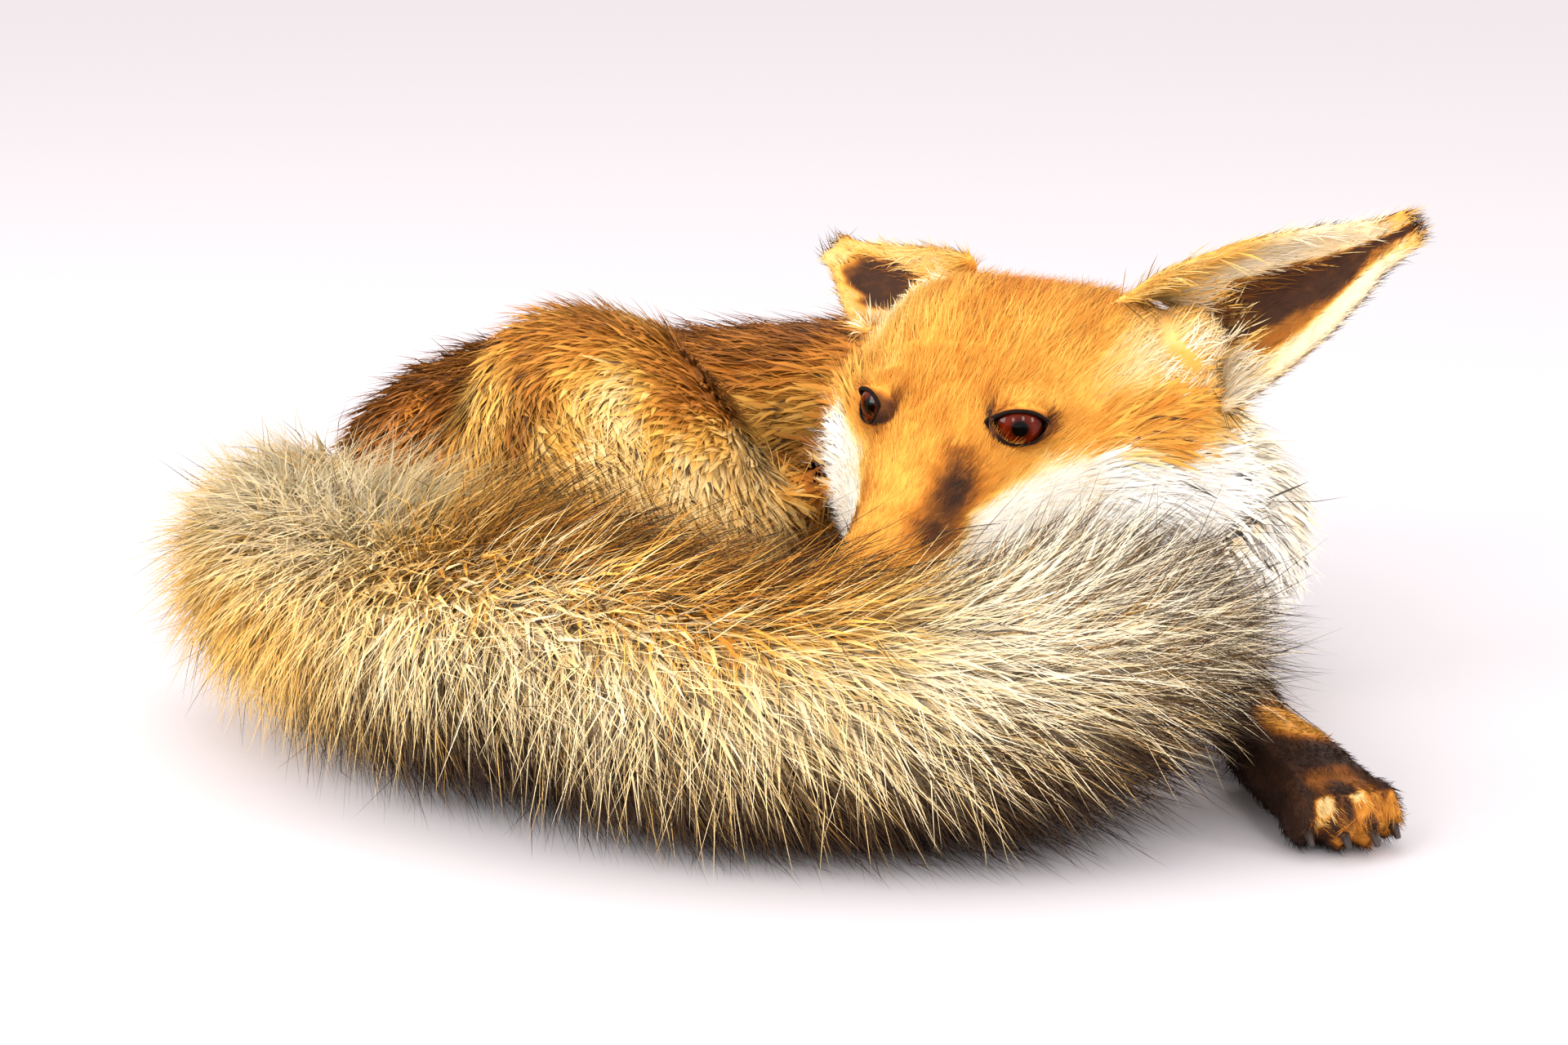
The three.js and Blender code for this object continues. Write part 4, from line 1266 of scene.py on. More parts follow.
def coat_material(name, marks):
    """A material whose color comes from the marks, which are attributes of the mesh."""
    material, nodes, links, shader = new_material(name, COAT_ROUGHNESS, COAT_SPECULAR)
    colors = nodes.new("ShaderNodeGroup")
    colors.node_tree = COAT_GROUP
    links.new(colors.outputs[0], shader.inputs["Base Color"])
    for mark in marks:
        attribute = nodes.new("ShaderNodeAttribute")
        attribute.attribute_name = mark.lower()
        links.new(attribute.outputs["Fac"], colors.inputs[mark])
    return material, colors.inputs


def tuft_material():
    """Fine strands run along each tuft."""
    material, inputs = coat_material("coat tufts", ("Warm", "Soot", "Tips", "Along", "Lock"))
    nodes, links = material.node_tree.nodes, material.node_tree.links
    across = nodes.new("ShaderNodeUVMap")
    across.uv_map = "OFBake"
    comb = nodes.new("ShaderNodeMapping")
    comb.inputs["Scale"].default_value = STRAND_SCALE
    links.new(across.outputs[0], comb.inputs["Vector"])
    links.new(noise(material, 1.0, 1.0, comb.outputs[0]), inputs["Streak"])
    return material


def pelt_material():
    """The skin between the tufts is grained like short hair."""
    material, inputs = coat_material("pelt under the coat", ("Warm", "Soot", "Tips"))
    # The pelt lies at the roots, so it takes part of the painted shade of the roots.
    inputs["Along"].default_value = 0.3
    grain = noise(material, 900.0, 3.0)
    for name in ("Lock", "Streak"):
        material.node_tree.links.new(grain, inputs[name])
    bumped(material, grain, 0.5, 0.6 * MM)
    return material


TUFTS = tuft_material()
PELT = pelt_material()
print("materials:", TUFTS.name, PELT.name)

# %% [markdown]
# ## The coat
#
# A tuft is a thin closed spike with three sides. It starts a little under the skin, leans over by the
# coat's depth and sags towards its tip. Building nearly two hundred thousand of them one by one would
# take minutes, so every step works on all tufts of a piece at once.

# %% Sowing roots on the skin
corner = skin_points[skin_faces]
skin_across = np.cross(corner[:, 1] - corner[:, 0], corner[:, 2] - corner[:, 0])
skin_areas = np.linalg.norm(skin_across, axis=1) / 2


class Roots:
    """Random roots on the skin, as faces and shares of their corners. read() brings any value to them."""

    def __init__(self, count, weight, seed):
        rng = np.random.default_rng(seed)
        chance = skin_areas * weight[skin_faces].min(1)
        chance = np.cumsum(chance) / chance.sum()
        self.face = np.minimum(np.searchsorted(chance, rng.random(count)), len(skin_faces) - 1)
        a, b = rng.random((2, count))
        over = a + b > 1
        a[over], b[over] = 1 - a[over], 1 - b[over]
        self.share = np.stack((1 - a - b, a, b), 1)
        self.rng = rng
        self.count = count
        self.place = self.read(skin_points)
        self.out = unit(self.read(soft_normals))
        lie = self.read(skin_lie)
        self.lie = unit(lie - (lie * self.out).sum(1)[:, None] * self.out)
        self.length = self.read(skin_length)
        self.lift = self.read(skin_lift)
        self.marks = self.read(skin_marks)

    def read(self, values):
        picked = values[skin_faces[self.face]]
        share = self.share if values.ndim == 1 else self.share[:, :, None]
        return (picked * share).sum(1)


# %% Clumps, and hair that meets another part of the body
def gathered(tips, roots, spacing, seed):
    """The tip of the nearest leading tuft for each tuft, so that hairs gather in points."""
    rng = np.random.default_rng(seed)
    leaders = rng.choice(len(roots), max(len(roots) // spacing, 1), replace=False)
    tree = KDTree(len(leaders))
    for i, leader in enumerate(leaders):
        tree.insert(roots[leader], i)
    tree.balance()
    nearest = np.array([tree.find(p)[1] for p in roots.tolist()])
    return tips[leaders[nearest]] - roots[leaders[nearest]] + roots


skin_tree = BVHTree.FromPolygons(skin_points.tolist(), skin_faces.tolist())
# Hair that is shorter than this lies close and runs into nothing.
LONG_HAIR = 9.0 * MM
CLEAR_OF_SKIN = 1.2 * MM
SHORTEST_SHARE = 0.25


def free_length(places, out, tips):
    """How much of each long hair is free of the skin: 1, or less where it would run into another part."""
    share = np.ones(len(places))
    if np.median(np.linalg.norm(tips - places, axis=1)) < LONG_HAIR:
        return share
    starts = places + out * CLEAR_OF_SKIN
    ways = tips - starts
    reach = np.linalg.norm(ways, axis=1)
    for i, (a, b, r) in enumerate(zip(starts.tolist(), ways.tolist(), reach.tolist())):
        hit = skin_tree.ray_cast(a, b, r)
        if hit[0] is not None:
            share[i] = max(hit[3] / r, SHORTEST_SHARE)
    return share


# %% The points and triangles of tufts
FLOOR_CLEAR = 0.5 * MM
# A tuft is rooted by the lesser of a depth and a share of its length.
ROOT_DEPTH, ROOT_SHARE = 0.5 * MM, 0.06
# Where a tuft's three edges are, as angles round it in radians.
EDGE_TURNS = (0.5236, 2.618, 4.712)


def tuft_faces(rings):
    """Triangles of one tuft: the closed root, the walls and the point."""
    faces = [(0, 2, 1)]
    for ring in range(rings - 1):
        for k in range(3):
            a, b = 3 * ring + k, 3 * ring + (k + 1) % 3
            faces += [(a, b, b + 3), (a, b + 3, a + 3)]
    faces += [(3 * rings - 3 + k, 3 * rings - 3 + (k + 1) % 3, 3 * rings) for k in range(3)]
    return np.array(faces)


def tuft_points(roots, start, bend, size, half, stops, thick, own):
    """The points of all tufts, ring by ring to the tip, and the way that each of them faces."""
    out, last = roots.out, len(stops) - 1
    points = np.empty((roots.count, 3 * last + 1, 3))
    facing = np.empty_like(points)
    base = roots.place - out * np.minimum(ROOT_DEPTH, ROOT_SHARE * size)[:, None]
    for ring, t in enumerate(stops):
        centre = base + (start * t + bend * t * t) * size[:, None]
        centre[:, 2] = np.maximum(centre[:, 2], FLOOR_CLEAR + half * (1 - t))
        if ring == last:
            break
        way = unit(start + 2 * t * bend)
        flat = unit(np.cross(way, out))
        up = np.cross(flat, way)
        wide = (half * (0.75 + 0.9 * t) * (1 - t) ** 0.55 if ring else half * 0.8)[:, None]
        for k, turn in enumerate(EDGE_TURNS):
            points[:, 3 * ring + k] = centre + wide * (flat * math.cos(turn) + up * thick * math.sin(turn))
            facing[:, 3 * ring + k] = mix(out, flat * math.cos(turn) + up * math.sin(turn), own)
    points[:, -1], facing[:, -1] = centre, out
    points[:, :, 2] = np.maximum(points[:, :, 2], FLOOR_CLEAR * 0.8)
    return points, unit(facing)


# %% One piece of coat
# The side of one tuft's patch in the unwrap, which is 1 wide.
PATCH = 0.003


def unwrap_tufts(mesh, unwrap, faces, rings, reach):
    """Each tuft's patch starts at its root's place in the unwrap."""
    spot = np.clip(unwrap, 0.002, 0.994)
    across = np.append(np.tile((0.0, 1.0, 0.5), rings), 0.5) * PATCH
    u = (spot[:, 0][:, None] + across[None]).ravel()
    v = (spot[:, 1][:, None] + (reach * PATCH)[None]).ravel()
    order = faces.ravel()
    layer = mesh.uv_layers.new(name="OFBake")
    layer.data.foreach_set("uv", np.stack((u[order], v[order]), 1).astype(np.float32).ravel())


def coat(name, roots, unwrap, width, rings, spread=0.12, curl_share=0.15, clump=0.35, spacing=12,
         length=1.0, lift=1.0, sag=0.30, jitter=0.25, thick=0.7, own=0.45):
    """A tuft on every root.

    width is in mm. spread, curl_share and jitter vary the way, the curl and the length at random.
    clump pulls tips together, one point to every spacing tufts. length and lift multiply what the
    skin says, and sag is how far a raised tuft drops. thick flattens a tuft, and own is how much its
    sides catch the light for themselves instead of as the skin does."""
    rng, n, out = roots.rng, roots.count, roots.out
    side = np.cross(roots.lie, out)
    lie = unit(roots.lie + side * rng.normal(0, spread, n)[:, None])
    rise = np.clip(roots.lift * lift * (1 + rng.normal(0, 0.22, n)), 0.05, 1.35)
    size = roots.length * length * (1 + rng.uniform(-jitter, jitter, n))
    start = lie * np.cos(rise)[:, None] + out * np.sin(rise)[:, None]
    sagging = -out * (sag * np.sin(rise))[:, None] + DOWN * 0.06
    curling = side * rng.normal(0, curl_share, n)[:, None] + out * rng.normal(0, curl_share * 0.4, n)[:, None]
    end = roots.place + (start + sagging + curling) * size[:, None]
    pulled = gathered(end, roots.place, spacing, 7)
    end = mix(end, pulled, clump * rng.uniform(0.4, 1.0, n)[:, None])
    size *= free_length(roots.place, out, end)
    bend = (end - roots.place) / np.maximum(np.linalg.norm(end - roots.place, axis=1), 1e-9)[:, None] - start
    half = width * MM / 2 * rng.uniform(0.7, 1.25, n) * np.clip(size / (roots.length * length), 0.5, 1.0)
    stops = (np.arange(rings + 1) / rings) ** 0.65
    points, facing = tuft_points(roots, start, bend, size, half, stops, thick, own)
    pattern = outwards(points[0], tuft_faces(rings))
    count = points.shape[1]
    faces = (pattern[None] + (np.arange(n) * count)[:, None, None]).reshape(-1, 3)
    mesh = mesh_of(name, points.reshape(-1, 3), faces)
    mesh.normals_split_custom_set_from_vertices(facing.reshape(-1, 3))
    reach = np.append(np.repeat(stops[:-1], 3), 1.0)
    values = {"along": np.tile(reach, n), "lock": np.repeat(rng.random(n), count)}
    values.update({key: np.repeat(roots.marks[:, i], count) for i, key in enumerate(MARKS)})
    for key, value in values.items():
        mesh.attributes.new(key, "FLOAT", "POINT").data.foreach_set("value", value.astype(np.float32))
    unwrap_tufts(mesh, unwrap, faces, rings, reach)
    mesh.materials.append(TUFTS)
    print(name, n, "tufts,", len(faces), "triangles")
    return placed(name, mesh)


def finish(piece, slot, *nodes):
    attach(piece, "root")
    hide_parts(*nodes)
    return piece


# %% [markdown]
# ## The skin as a piece
#
# The pelt stands for every solid of flesh. It carries its markings as attributes on its points.

# %% The pelt
pelt_mesh = mesh_of("pelt", skin_points, skin_faces)
for column, key in enumerate(MARKS):
    layer = pelt_mesh.attributes.new(key, "FLOAT", "POINT")
    layer.data.foreach_set("value", skin_marks[:, column].astype(np.float32))
pelt_mesh.materials.append(PELT)
pelt = placed("pelt", pelt_mesh)
finish(pelt, "coat_rufous", *FLESH, *BRUSH_NODES)
print("pelt triangles:", len(pelt_mesh.polygons))

# %% [markdown]
# ## Growing the pieces of coat
#
# The coat comes in pieces small enough to save. Each has an unwrap that suits the skin's shape: along
# and around the brush or the body, around the muzzle on the head, flat on each face of an ear, and as
# seen from above on the lower legs.

# %% Unwraps
# The head's unwrap starts this far behind its origin, covers this length and turns round this axis, in mm.
HEAD_BEHIND, HEAD_SPAN, HEAD_AXIS_BELOW = 105, 190, 18


def ring_unwrap(share, angle):
    return np.stack((np.clip(share, 0, 1), angle / (2 * math.pi) + 0.5), 1)


def brush_unwrap(places):
    share, angle, _, _ = along(places, brush)
    return ring_unwrap(share, angle)


def spine_unwrap(places):
    share, angle, _, _ = along(places, spine)
    return ring_unwrap(share * 0.86 + 0.07, angle)


def head_unwrap(places):
    h = to_head(places)
    return ring_unwrap((h[:, 0] + HEAD_BEHIND) / HEAD_SPAN, np.arctan2(h[:, 1], h[:, 2] + HEAD_AXIS_BELOW))


# %% The brush
# Three lengths of brush: from and to as shares of its length, how many hairs, and the slot and solids.
LENGTHS = (
    (0.0, 0.36, 11500, "coat_cream", ("tail_1", "tail_2", "tail_3")),
    (0.36, 0.68, 11500, "coat_cream", ("tail_1", "tail_2", "tail_3")),
    (0.68, 1.01, 9500, "coat_dark", ("tail_4", "tail_5")),
)
DOWN_TUFTS, LONG_TUFTS = 5200, 9000


def grow_brush():
    total = on_brush.astype(float)
    near = total * (0.62 + 0.38 * ease(-0.2, 0.5, -skin_normals[:, 1] + 0.6 * skin_normals[:, 2]))
    pieces = []
    for i, (begin, end, hairs, slot, nodes) in enumerate(LENGTHS):
        part = near * (brush_share >= begin) * (brush_share < end)
        under, guard = Roots(DOWN_TUFTS, part, 100 + i), Roots(hairs, part, 200 + i)
        under.marks[:, 2] *= 0.8
        wool = wooliness(guard)
        down = coat(
            f"brush_down_{i + 1}", under, brush_unwrap(under.place), width=2.0, rings=2, spread=0.34,
            curl_share=0.16, clump=0.12, length=0.62, lift=1.15, thick=0.26, own=0.12,
        )
        hair = coat(
            f"brush_hair_{i + 1}", guard, brush_unwrap(guard.place), width=0.38, rings=2,
            spread=0.38 + 0.45 * wool, curl_share=0.24 + 0.2 * wool, clump=0.10, spacing=9,
            length=0.90 - 0.10 * wool, lift=1.12, sag=0.25, own=0.15,
        )
        pieces += [finish(down, slot, *nodes), finish(hair, slot, *nodes)]
    return [*pieces, grow_long_hair(total)]


def grow_long_hair(total):
    """Dark hair that is longer than the rest: at the tip, along the top and along the lower edge."""
    turn = np.degrees(brush_angle)
    tip = ease(0.68, 0.88, brush_share) * mix(0.45, 1.0, ease(-10, 40, turn)) * ease(-70, -30, turn)
    stripe = 0.60 * ease(66, 84, turn) * ease(0.30, 0.42, brush_share)
    fringe = ease(12, -16, turn) * ease(0.18, 0.34, brush_share)
    dark = np.maximum(np.maximum(tip, stripe), np.maximum(fringe, 0.015))
    roots = Roots(LONG_TUFTS, total * dark, 250)
    low = roots.read(fringe)
    roots.marks[:] = np.stack((0.55 + 0.3 * low, 0.16 + 0.76 * low, np.ones_like(low)), 1)
    hair = coat(
        "brush_guard", roots, brush_unwrap(roots.place), width=0.42, rings=2, spread=0.36,
        curl_share=0.26, clump=0.20, length=1.05 - 0.12 * roots.read(tip), lift=1.20, sag=0.25, own=0.3,
    )
    return finish(hair, "coat_dark", *BRUSH_NODES)


def wooliness(roots):
    """1 where the brush's hair is short and curly: a band along its upper side."""
    turn = np.degrees(roots.read(brush_angle))
    share = roots.read(brush_share)
    return ease(12, 36, turn) * ease(92, 72, turn) * ease(0.12, 0.24, share) * ease(0.78, 0.62, share)


brush_pieces = grow_brush()

# %% The trunk, the thighs and the ruff
def grow_part(name, mask, locks, hairs, seed, slot, nodes, hair_width, spread, lift):
    """Broad flat locks below, fine hair above them."""
    below, above = Roots(locks, mask, seed), Roots(hairs, mask, seed + 1)
    broad = coat(
        f"{name}_locks", below, spine_unwrap(below.place), width=2.6, rings=2, spread=spread,
        curl_share=0.14, clump=0.10, length=0.76, lift=lift, thick=0.24, own=0.12,
    )
    fine = coat(
        f"{name}_hair", above, spine_unwrap(above.place), width=hair_width, rings=2, spread=spread,
        curl_share=0.18, clump=0.10, lift=lift + 0.05, own=0.15,
    )
    return finish(broad, slot, *nodes), finish(fine, slot, *nodes)


body_pieces = [
    *grow_part("coat_trunk", on_trunk.astype(float), 6300, 8200, 301, "coat_grizzled", ("rump", "loin"),
               hair_width=0.42, spread=0.26, lift=0.92),
    *grow_part("coat_thighs", on_upper_legs.astype(float), 6500, 9000, 311, "coat_grizzled", UPPER_LEGS,
               hair_width=0.40, spread=0.30, lift=0.78),
    *grow_part("coat_ruff", on_ruff.astype(float), 8000, 6000, 321, "coat_white", ("chest", "neck"),
               hair_width=0.4, spread=0.12, lift=0.62),
]

# %% The head
def eyes_clear(points):
    """0 over an eye's opening, 1 away from it."""
    clear = np.ones(len(points))
    for centre, out, slit, rise in EYES.values():
        away = (points - centre) / MM
        ring = lid_oval(away, slit, rise, SLIT_HALF + 0.3)
        clear *= 1 - (ring < 1.0) * (away @ out > 0) * (np.linalg.norm(away, axis=1) < 14)
    return clear


def grow_head():
    short = ease(15, 6, skin_length / MM)
    on_nose = (head_place[:, 0] > 72) & (head_place[:, 2] > -42)
    clear = eyes_clear(skin_points) * on_head * ~on_nose
    front = ease(-16, -24, head_place[:, 0])
    eye_gap = np.minimum(*(np.linalg.norm(skin_points - EYES[side][0], axis=1) for side in (1, -1))) / MM
    weight = clear * (mix(0.6, 1.5, short) + 3.0 * ease(17, 12, eye_gap))
    cheek = clear * ease(12, 18, skin_length / MM)
    face = Roots(27000, weight * (front < 0.5), 401)
    crown = Roots(21000, weight * (front >= 0.5), 402)
    cheeks = Roots(7000, cheek, 403)
    ruffs = Roots(3500, cheek, 404)
    pieces = (
        coat("coat_face", face, head_unwrap(face.place), width=0.42, rings=1, spread=0.18,
             curl_share=0.12, clump=0.18, spacing=10, length=1.05, lift=0.80, jitter=0.35),
        coat("coat_crown", crown, head_unwrap(crown.place), width=0.50, rings=1, spread=0.20,
             curl_share=0.14, clump=0.18, spacing=10, length=1.05, lift=0.70, jitter=0.35),
        coat("coat_cheek_locks", cheeks, head_unwrap(cheeks.place), width=1.9, rings=2, spread=0.14,
             curl_share=0.12, clump=0.08, spacing=10, length=0.9, lift=0.62, thick=0.24, own=0.2),
        coat("coat_cheek_hair", ruffs, head_unwrap(ruffs.place), width=0.38, rings=2, spread=0.16,
             curl_share=0.14, clump=0.08, spacing=10, lift=0.66, own=0.25),
    )
    return [
        finish(piece, "coat_white" if "cheek" in piece.name else "coat_rufous", "head") for piece in pieces
    ]


head_pieces = grow_head()

# %% Ears, legs and paws
def ear_unwrap(places, normals):
    lengthwise, across, inside = ear_place(places, normals)
    right = to_head(places)[:, 1] < 0
    u = np.clip(lengthwise, 0, 1) * 0.45 + 0.5 * (inside > 0.5)
    v = (np.clip(across, -1.2, 1.2) + 1.2) / 2.4 * 0.45 + 0.5 * right
    return np.stack((u, v), 1)


def leg_unwrap(places):
    """The legs lie flat, so they are unwrapped as seen from above."""
    u = (places[:, 1] - skin_points[:, 1].min()) / np.ptp(skin_points[:, 1])
    v = (places[:, 0] - skin_points[:, 0].min()) / np.ptp(skin_points[:, 0])
    return np.stack((u, v), 1)


def ear_axes(places):
    """The directions along and across the ear that each place is nearest to."""
    left_side = to_head(places)[:, 1] > 0
    both = []
    for ear in EARS:
        lengthwise = unit(np.array(EAR_LENGTHWISE[ear]))
        facing = np.array(EAR_FACING[ear])
        across = unit(np.cross(lengthwise, facing)) * (-1 if ear == "ear_left" else 1)
        both.append((head_turn(lengthwise), head_turn(across)))
    along_it = np.where(left_side[:, None], both[0][0], both[1][0])
    across_it = np.where(left_side[:, None], both[0][1], both[1][1])
    return along_it, across_it


def comb(roots, ways, length, lift):
    """Makes hair run along ways instead of the coat's own lie, with one length in mm and one lift."""
    roots.lie = unit(ways - (ways * roots.out).sum(1)[:, None] * roots.out)
    roots.length = roots.length * 0 + length * MM
    roots.lift = roots.lift * 0 + lift


def ear_fur():
    ears = Roots(13000, on_ears.astype(float), 501)
    normals = unit(ears.read(skin_normals))
    return coat("coat_ears", ears, ear_unwrap(ears.place, normals), width=0.5, rings=1, spread=0.25,
                curl_share=0.18, clump=0.3, spacing=10, length=1.5, lift=0.9)


def ear_inner(lengthwise, across, inside):
    """Long pale hair inside an ear, along its inner edge and at its root."""
    front = on_ears * inside * ease(0.05, 0.3, across) * ease(0.9, 0.6, lengthwise)
    front += 1.5 * on_ears * inside * ease(0.22, 0.1, lengthwise)
    roots = Roots(1500, front, 503)
    along_it, across_it = ear_axes(roots.place)
    comb(roots, along_it - 0.30 * across_it, 11.0, 0.20)
    roots.marks[:] = roots.marks * (1, 0.75, 0)
    normals = unit(roots.read(skin_normals))
    return coat("coat_ear_inner", roots, ear_unwrap(roots.place, normals), width=0.40, rings=2,
                spread=0.22, curl_share=0.2, clump=0.2, spacing=8)


def ear_base(lengthwise):
    """Hair that runs from the head up the root of each ear."""
    seat = np.zeros(len(skin_points))
    for x, y, z, radius in EAR_SEATS:
        gap = np.linalg.norm(head_place - (x, y, z), axis=1)
        seat = np.maximum(seat, ease(radius + 15, radius + 5, gap))
    seat *= (on_head | on_ears) * (1 - on_ears * ease(0.10, 0.25, lengthwise))
    roots = Roots(4500, seat, 504)
    along_it, across_it = ear_axes(roots.place)
    comb(roots, along_it + 0.15 * across_it + 0.35 * roots.lie, 11.0, 0.20)
    place = roots.read(head_place)
    # Painted shade: hair in the crease behind the left ear is blackened.
    slit = np.exp(-((near_line(place, EAR_CREASE_SHADE)[0] / 3.2) ** 4))
    tuft = np.exp(-((near_line(place, EAR_TUFT)[0] / 5.0) ** 2))
    roots.marks[:, 0] = np.maximum(mix(0.26, 0.54, ease(2, 9, place[:, 2])), 0.60 * tuft)
    roots.marks[:, 1], roots.marks[:, 2] = 0.02 + 0.85 * slit, 0.0
    return coat("coat_ear_base", roots, head_unwrap(roots.place), width=0.6, rings=2, spread=0.22,
                curl_share=0.2, clump=0.15, spacing=8, thick=0.4, own=0.2)


def grow_ears():
    lengthwise, across, inside = ear_place(skin_points, skin_normals)
    fur, inner, base = ear_fur(), ear_inner(lengthwise, across, inside), ear_base(lengthwise)
    return finish(fur, "ear_fur", *EARS), finish(inner, "ear_fur", *EARS), finish(base, "ear_fur", "head")


def grow_legs():
    """Hair is densest on the near forefoot, which is seen."""
    near = is_in("paw_fore_left").astype(float)
    weight = (on_lower_legs | on_paws).astype(float) * mix(0.7, 1.4, on_paws) * (1 + 1.6 * near)
    locks, hairs = Roots(2000, on_lower_legs.astype(float), 502), Roots(14000, weight, 505)
    broad = coat("coat_leg_locks", locks, leg_unwrap(locks.place), width=1.4, rings=2, spread=0.25,
                 clump=0.3, spacing=10, thick=0.35)
    fine = coat("coat_leg_hair", hairs, leg_unwrap(hairs.place), width=0.50, rings=1, spread=0.35,
                clump=0.2, spacing=10, length=1.25, lift=1.3)
    return [finish(piece, "coat_dark", *LOWER_LEGS, *PAWS) for piece in (broad, fine)]


limb_pieces = [*grow_ears(), *grow_legs()]
coat_triangles = sum(len(p.data.polygons) for p in (*brush_pieces, *body_pieces, *head_pieces, *limb_pieces))
print("coat triangles in all:", coat_triangles)

# %% [markdown]
# ## Eyes
#
# A taxidermist's eye is a glass ball with the iris painted behind it. We store each point's angle from
# the middle of the pupil, so that the shader can draw the pupil, the iris and its dark edge as rings.

# %% Glass eyes
# The edges of the pupil and the iris, in degrees from the middle. The mesh stores a point's angle as a
# share of a right angle.
PUPIL, IRIS, RIGHT_ANGLE = 16.0, 56.0, 90
EYE_RINGS = (
    (0.0, (1, 1, 1)), (PUPIL / RIGHT_ANGLE, (1, 1, 1)), ((PUPIL + 2.5) / RIGHT_ANGLE, (70, 16, 3)),
    (0.36, (114, 31, 6)), (0.48, (88, 21, 5)), (IRIS / RIGHT_ANGLE, (24, 6, 3)), (0.70, (6, 3, 3)),
)


def eye_material():
    material, nodes, links, shader = new_material("glass eye", 0.12, 0.05)
    shader.inputs["Coat Weight"].default_value = 0.22
    shader.inputs["Coat Roughness"].default_value = 0.02
    lean = nodes.new("ShaderNodeAttribute")
    lean.attribute_name = "lean"
    ramp = nodes.new("ShaderNodeValToRGB")
    links.new(lean.outputs["Fac"], ramp.inputs[0])
    fill_ramp(ramp, EYE_RINGS)
    dim = nodes.new("ShaderNodeMix")
    dim.data_type = "RGBA"
    dim.blend_type = "MULTIPLY"
    dim.inputs[0].default_value = 0.5
    links.new(ramp.outputs[0], dim.inputs[MIX_FIRST])
    links.new(noise(material, 420.0), dim.inputs[MIX_SECOND])
    links.new(dim.outputs[MIX_RESULT], shader.inputs["Base Color"])
    return material


GLASS = eye_material()


def glass_eye(side):
    """The eyes look a little down, and the right one also a little forward."""
    centre, out, slit, rise = EYES[side]
    gaze = unit(out - 0.15 * rise) if side > 0 else unit(out - 0.10 * rise - 0.22 * slit)
    mesh = ball("eye", (0, 0, 0), EYE_RADIUS, 48, 64)
    turn = Vector(gaze).to_track_quat("Z", "Y").to_matrix().to_4x4()
    mesh.transform(Matrix.Translation(Vector(centre)) @ turn)
    points, faces = arrays_of(mesh)
    mesh = mesh_of("glass_eye", points, faces)
    lean = np.degrees(np.arccos(np.clip(unit(points - centre) @ gaze, -1, 1))) / RIGHT_ANGLE
    mesh.attributes.new("lean", "FLOAT", "POINT").data.foreach_set("value", lean.astype(np.float32))
    mesh.materials.append(GLASS)
    name = "eye_glass_left" if side > 0 else "eye_glass_right"
    return finish(placed(name, mesh), "eye_glass", "eye_left" if side > 0 else "eye_right")


eyes = [glass_eye(side) for side in (1, -1)]

# %% The dark rims of the lids
def plain_material(name, tone, roughness, specular, grain, depth, coat_weight=0.0):
    """One color with a fine grain. grain is its scale, and depth is its relief in mm."""
    material, nodes, links, shader = new_material(name, roughness, specular)
    shader.inputs["Coat Weight"].default_value = coat_weight
    height = noise(material, grain, 4.0)
    ramp = nodes.new("ShaderNodeValToRGB")
    fill_ramp(ramp, ((0.3, [0.7 * c for c in tone]), (0.7, [min(1.25 * c, 255) for c in tone])))
    links.new(height, ramp.inputs[0])
    links.new(ramp.outputs[0], shader.inputs["Base Color"])
    bumped(material, height, 0.6, depth * MM)
    return material


RIM = plain_material("dark rim of the lids", (24, 13, 9), 0.7, 0.1, 800.0, 0.2)
# In mm: the ball that the rims lie on, and how thick they are above and below.
RIM_BALL, UPPER_RIM, LOWER_RIM = 9.0, 0.62, 0.40


def ring_tube(path, radii, sides):
    """A closed ring of tube along a closed path."""
    ahead = unit(np.roll(path, -1, 0) - np.roll(path, 1, 0))
    outward = unit(path - path.mean(0))
    outward = unit(outward - (outward * ahead).sum(1)[:, None] * ahead)
    points = rings_round(path, outward, np.cross(ahead, outward), radii, sides)
    return points, outwards(points, wall(len(path), sides, len(path)))


def lid_rim(side):
    centre, out, slit, rise = EYES[side]
    edge = almond(80, SLIT_HALF + 0.2, UPPER_LID + 0.1, LOWER_LID + 0.1, INNER_CORNER[side])
    edge[:, 0] -= 1.4 * ease(6.0, 9.0, -edge[:, 0])
    flat = np.linalg.norm(edge, axis=1)
    height = np.sqrt(np.maximum(RIM_BALL**2 - flat**2, 3.6**2))
    path = centre + (edge[:, :1] * slit + edge[:, 1:] * rise + height[:, None] * out) * MM
    radii = np.where(edge[:, 1] > 0, UPPER_RIM, LOWER_RIM) * MM
    points, faces = ring_tube(path, radii, 8)
    mesh = mesh_of("rim", points, faces)
    mesh.materials.append(RIM)
    name = "lid_rim_left" if side > 0 else "lid_rim_right"
    return finish(placed(name, mesh), "nose_leather", "head")


rims = [lid_rim(side) for side in (1, -1)]
print("eye pieces:", [thing.name for thing in (*eyes, *rims)])

# %% [markdown]
# ## Nose leather
#
# The nose is bare, pebbled skin with two oval nostrils. A copy of its solid is rounded, and the nostrils
# and the furrow between them are pressed in.

# %% The nose
# Nostrils, in mm: their place from the nose's middle for the left one, their radii and their depth.
NOSTRIL, NOSTRIL_RADII, NOSTRIL_DEPTH = (3.5, 4.2, -0.5), (3.4, 2.1, 1.7), 1.8
# The furrow between them: its half width and depth.
NOSE_FURROW, NOSE_FURROW_DEPTH = 0.6, 0.6


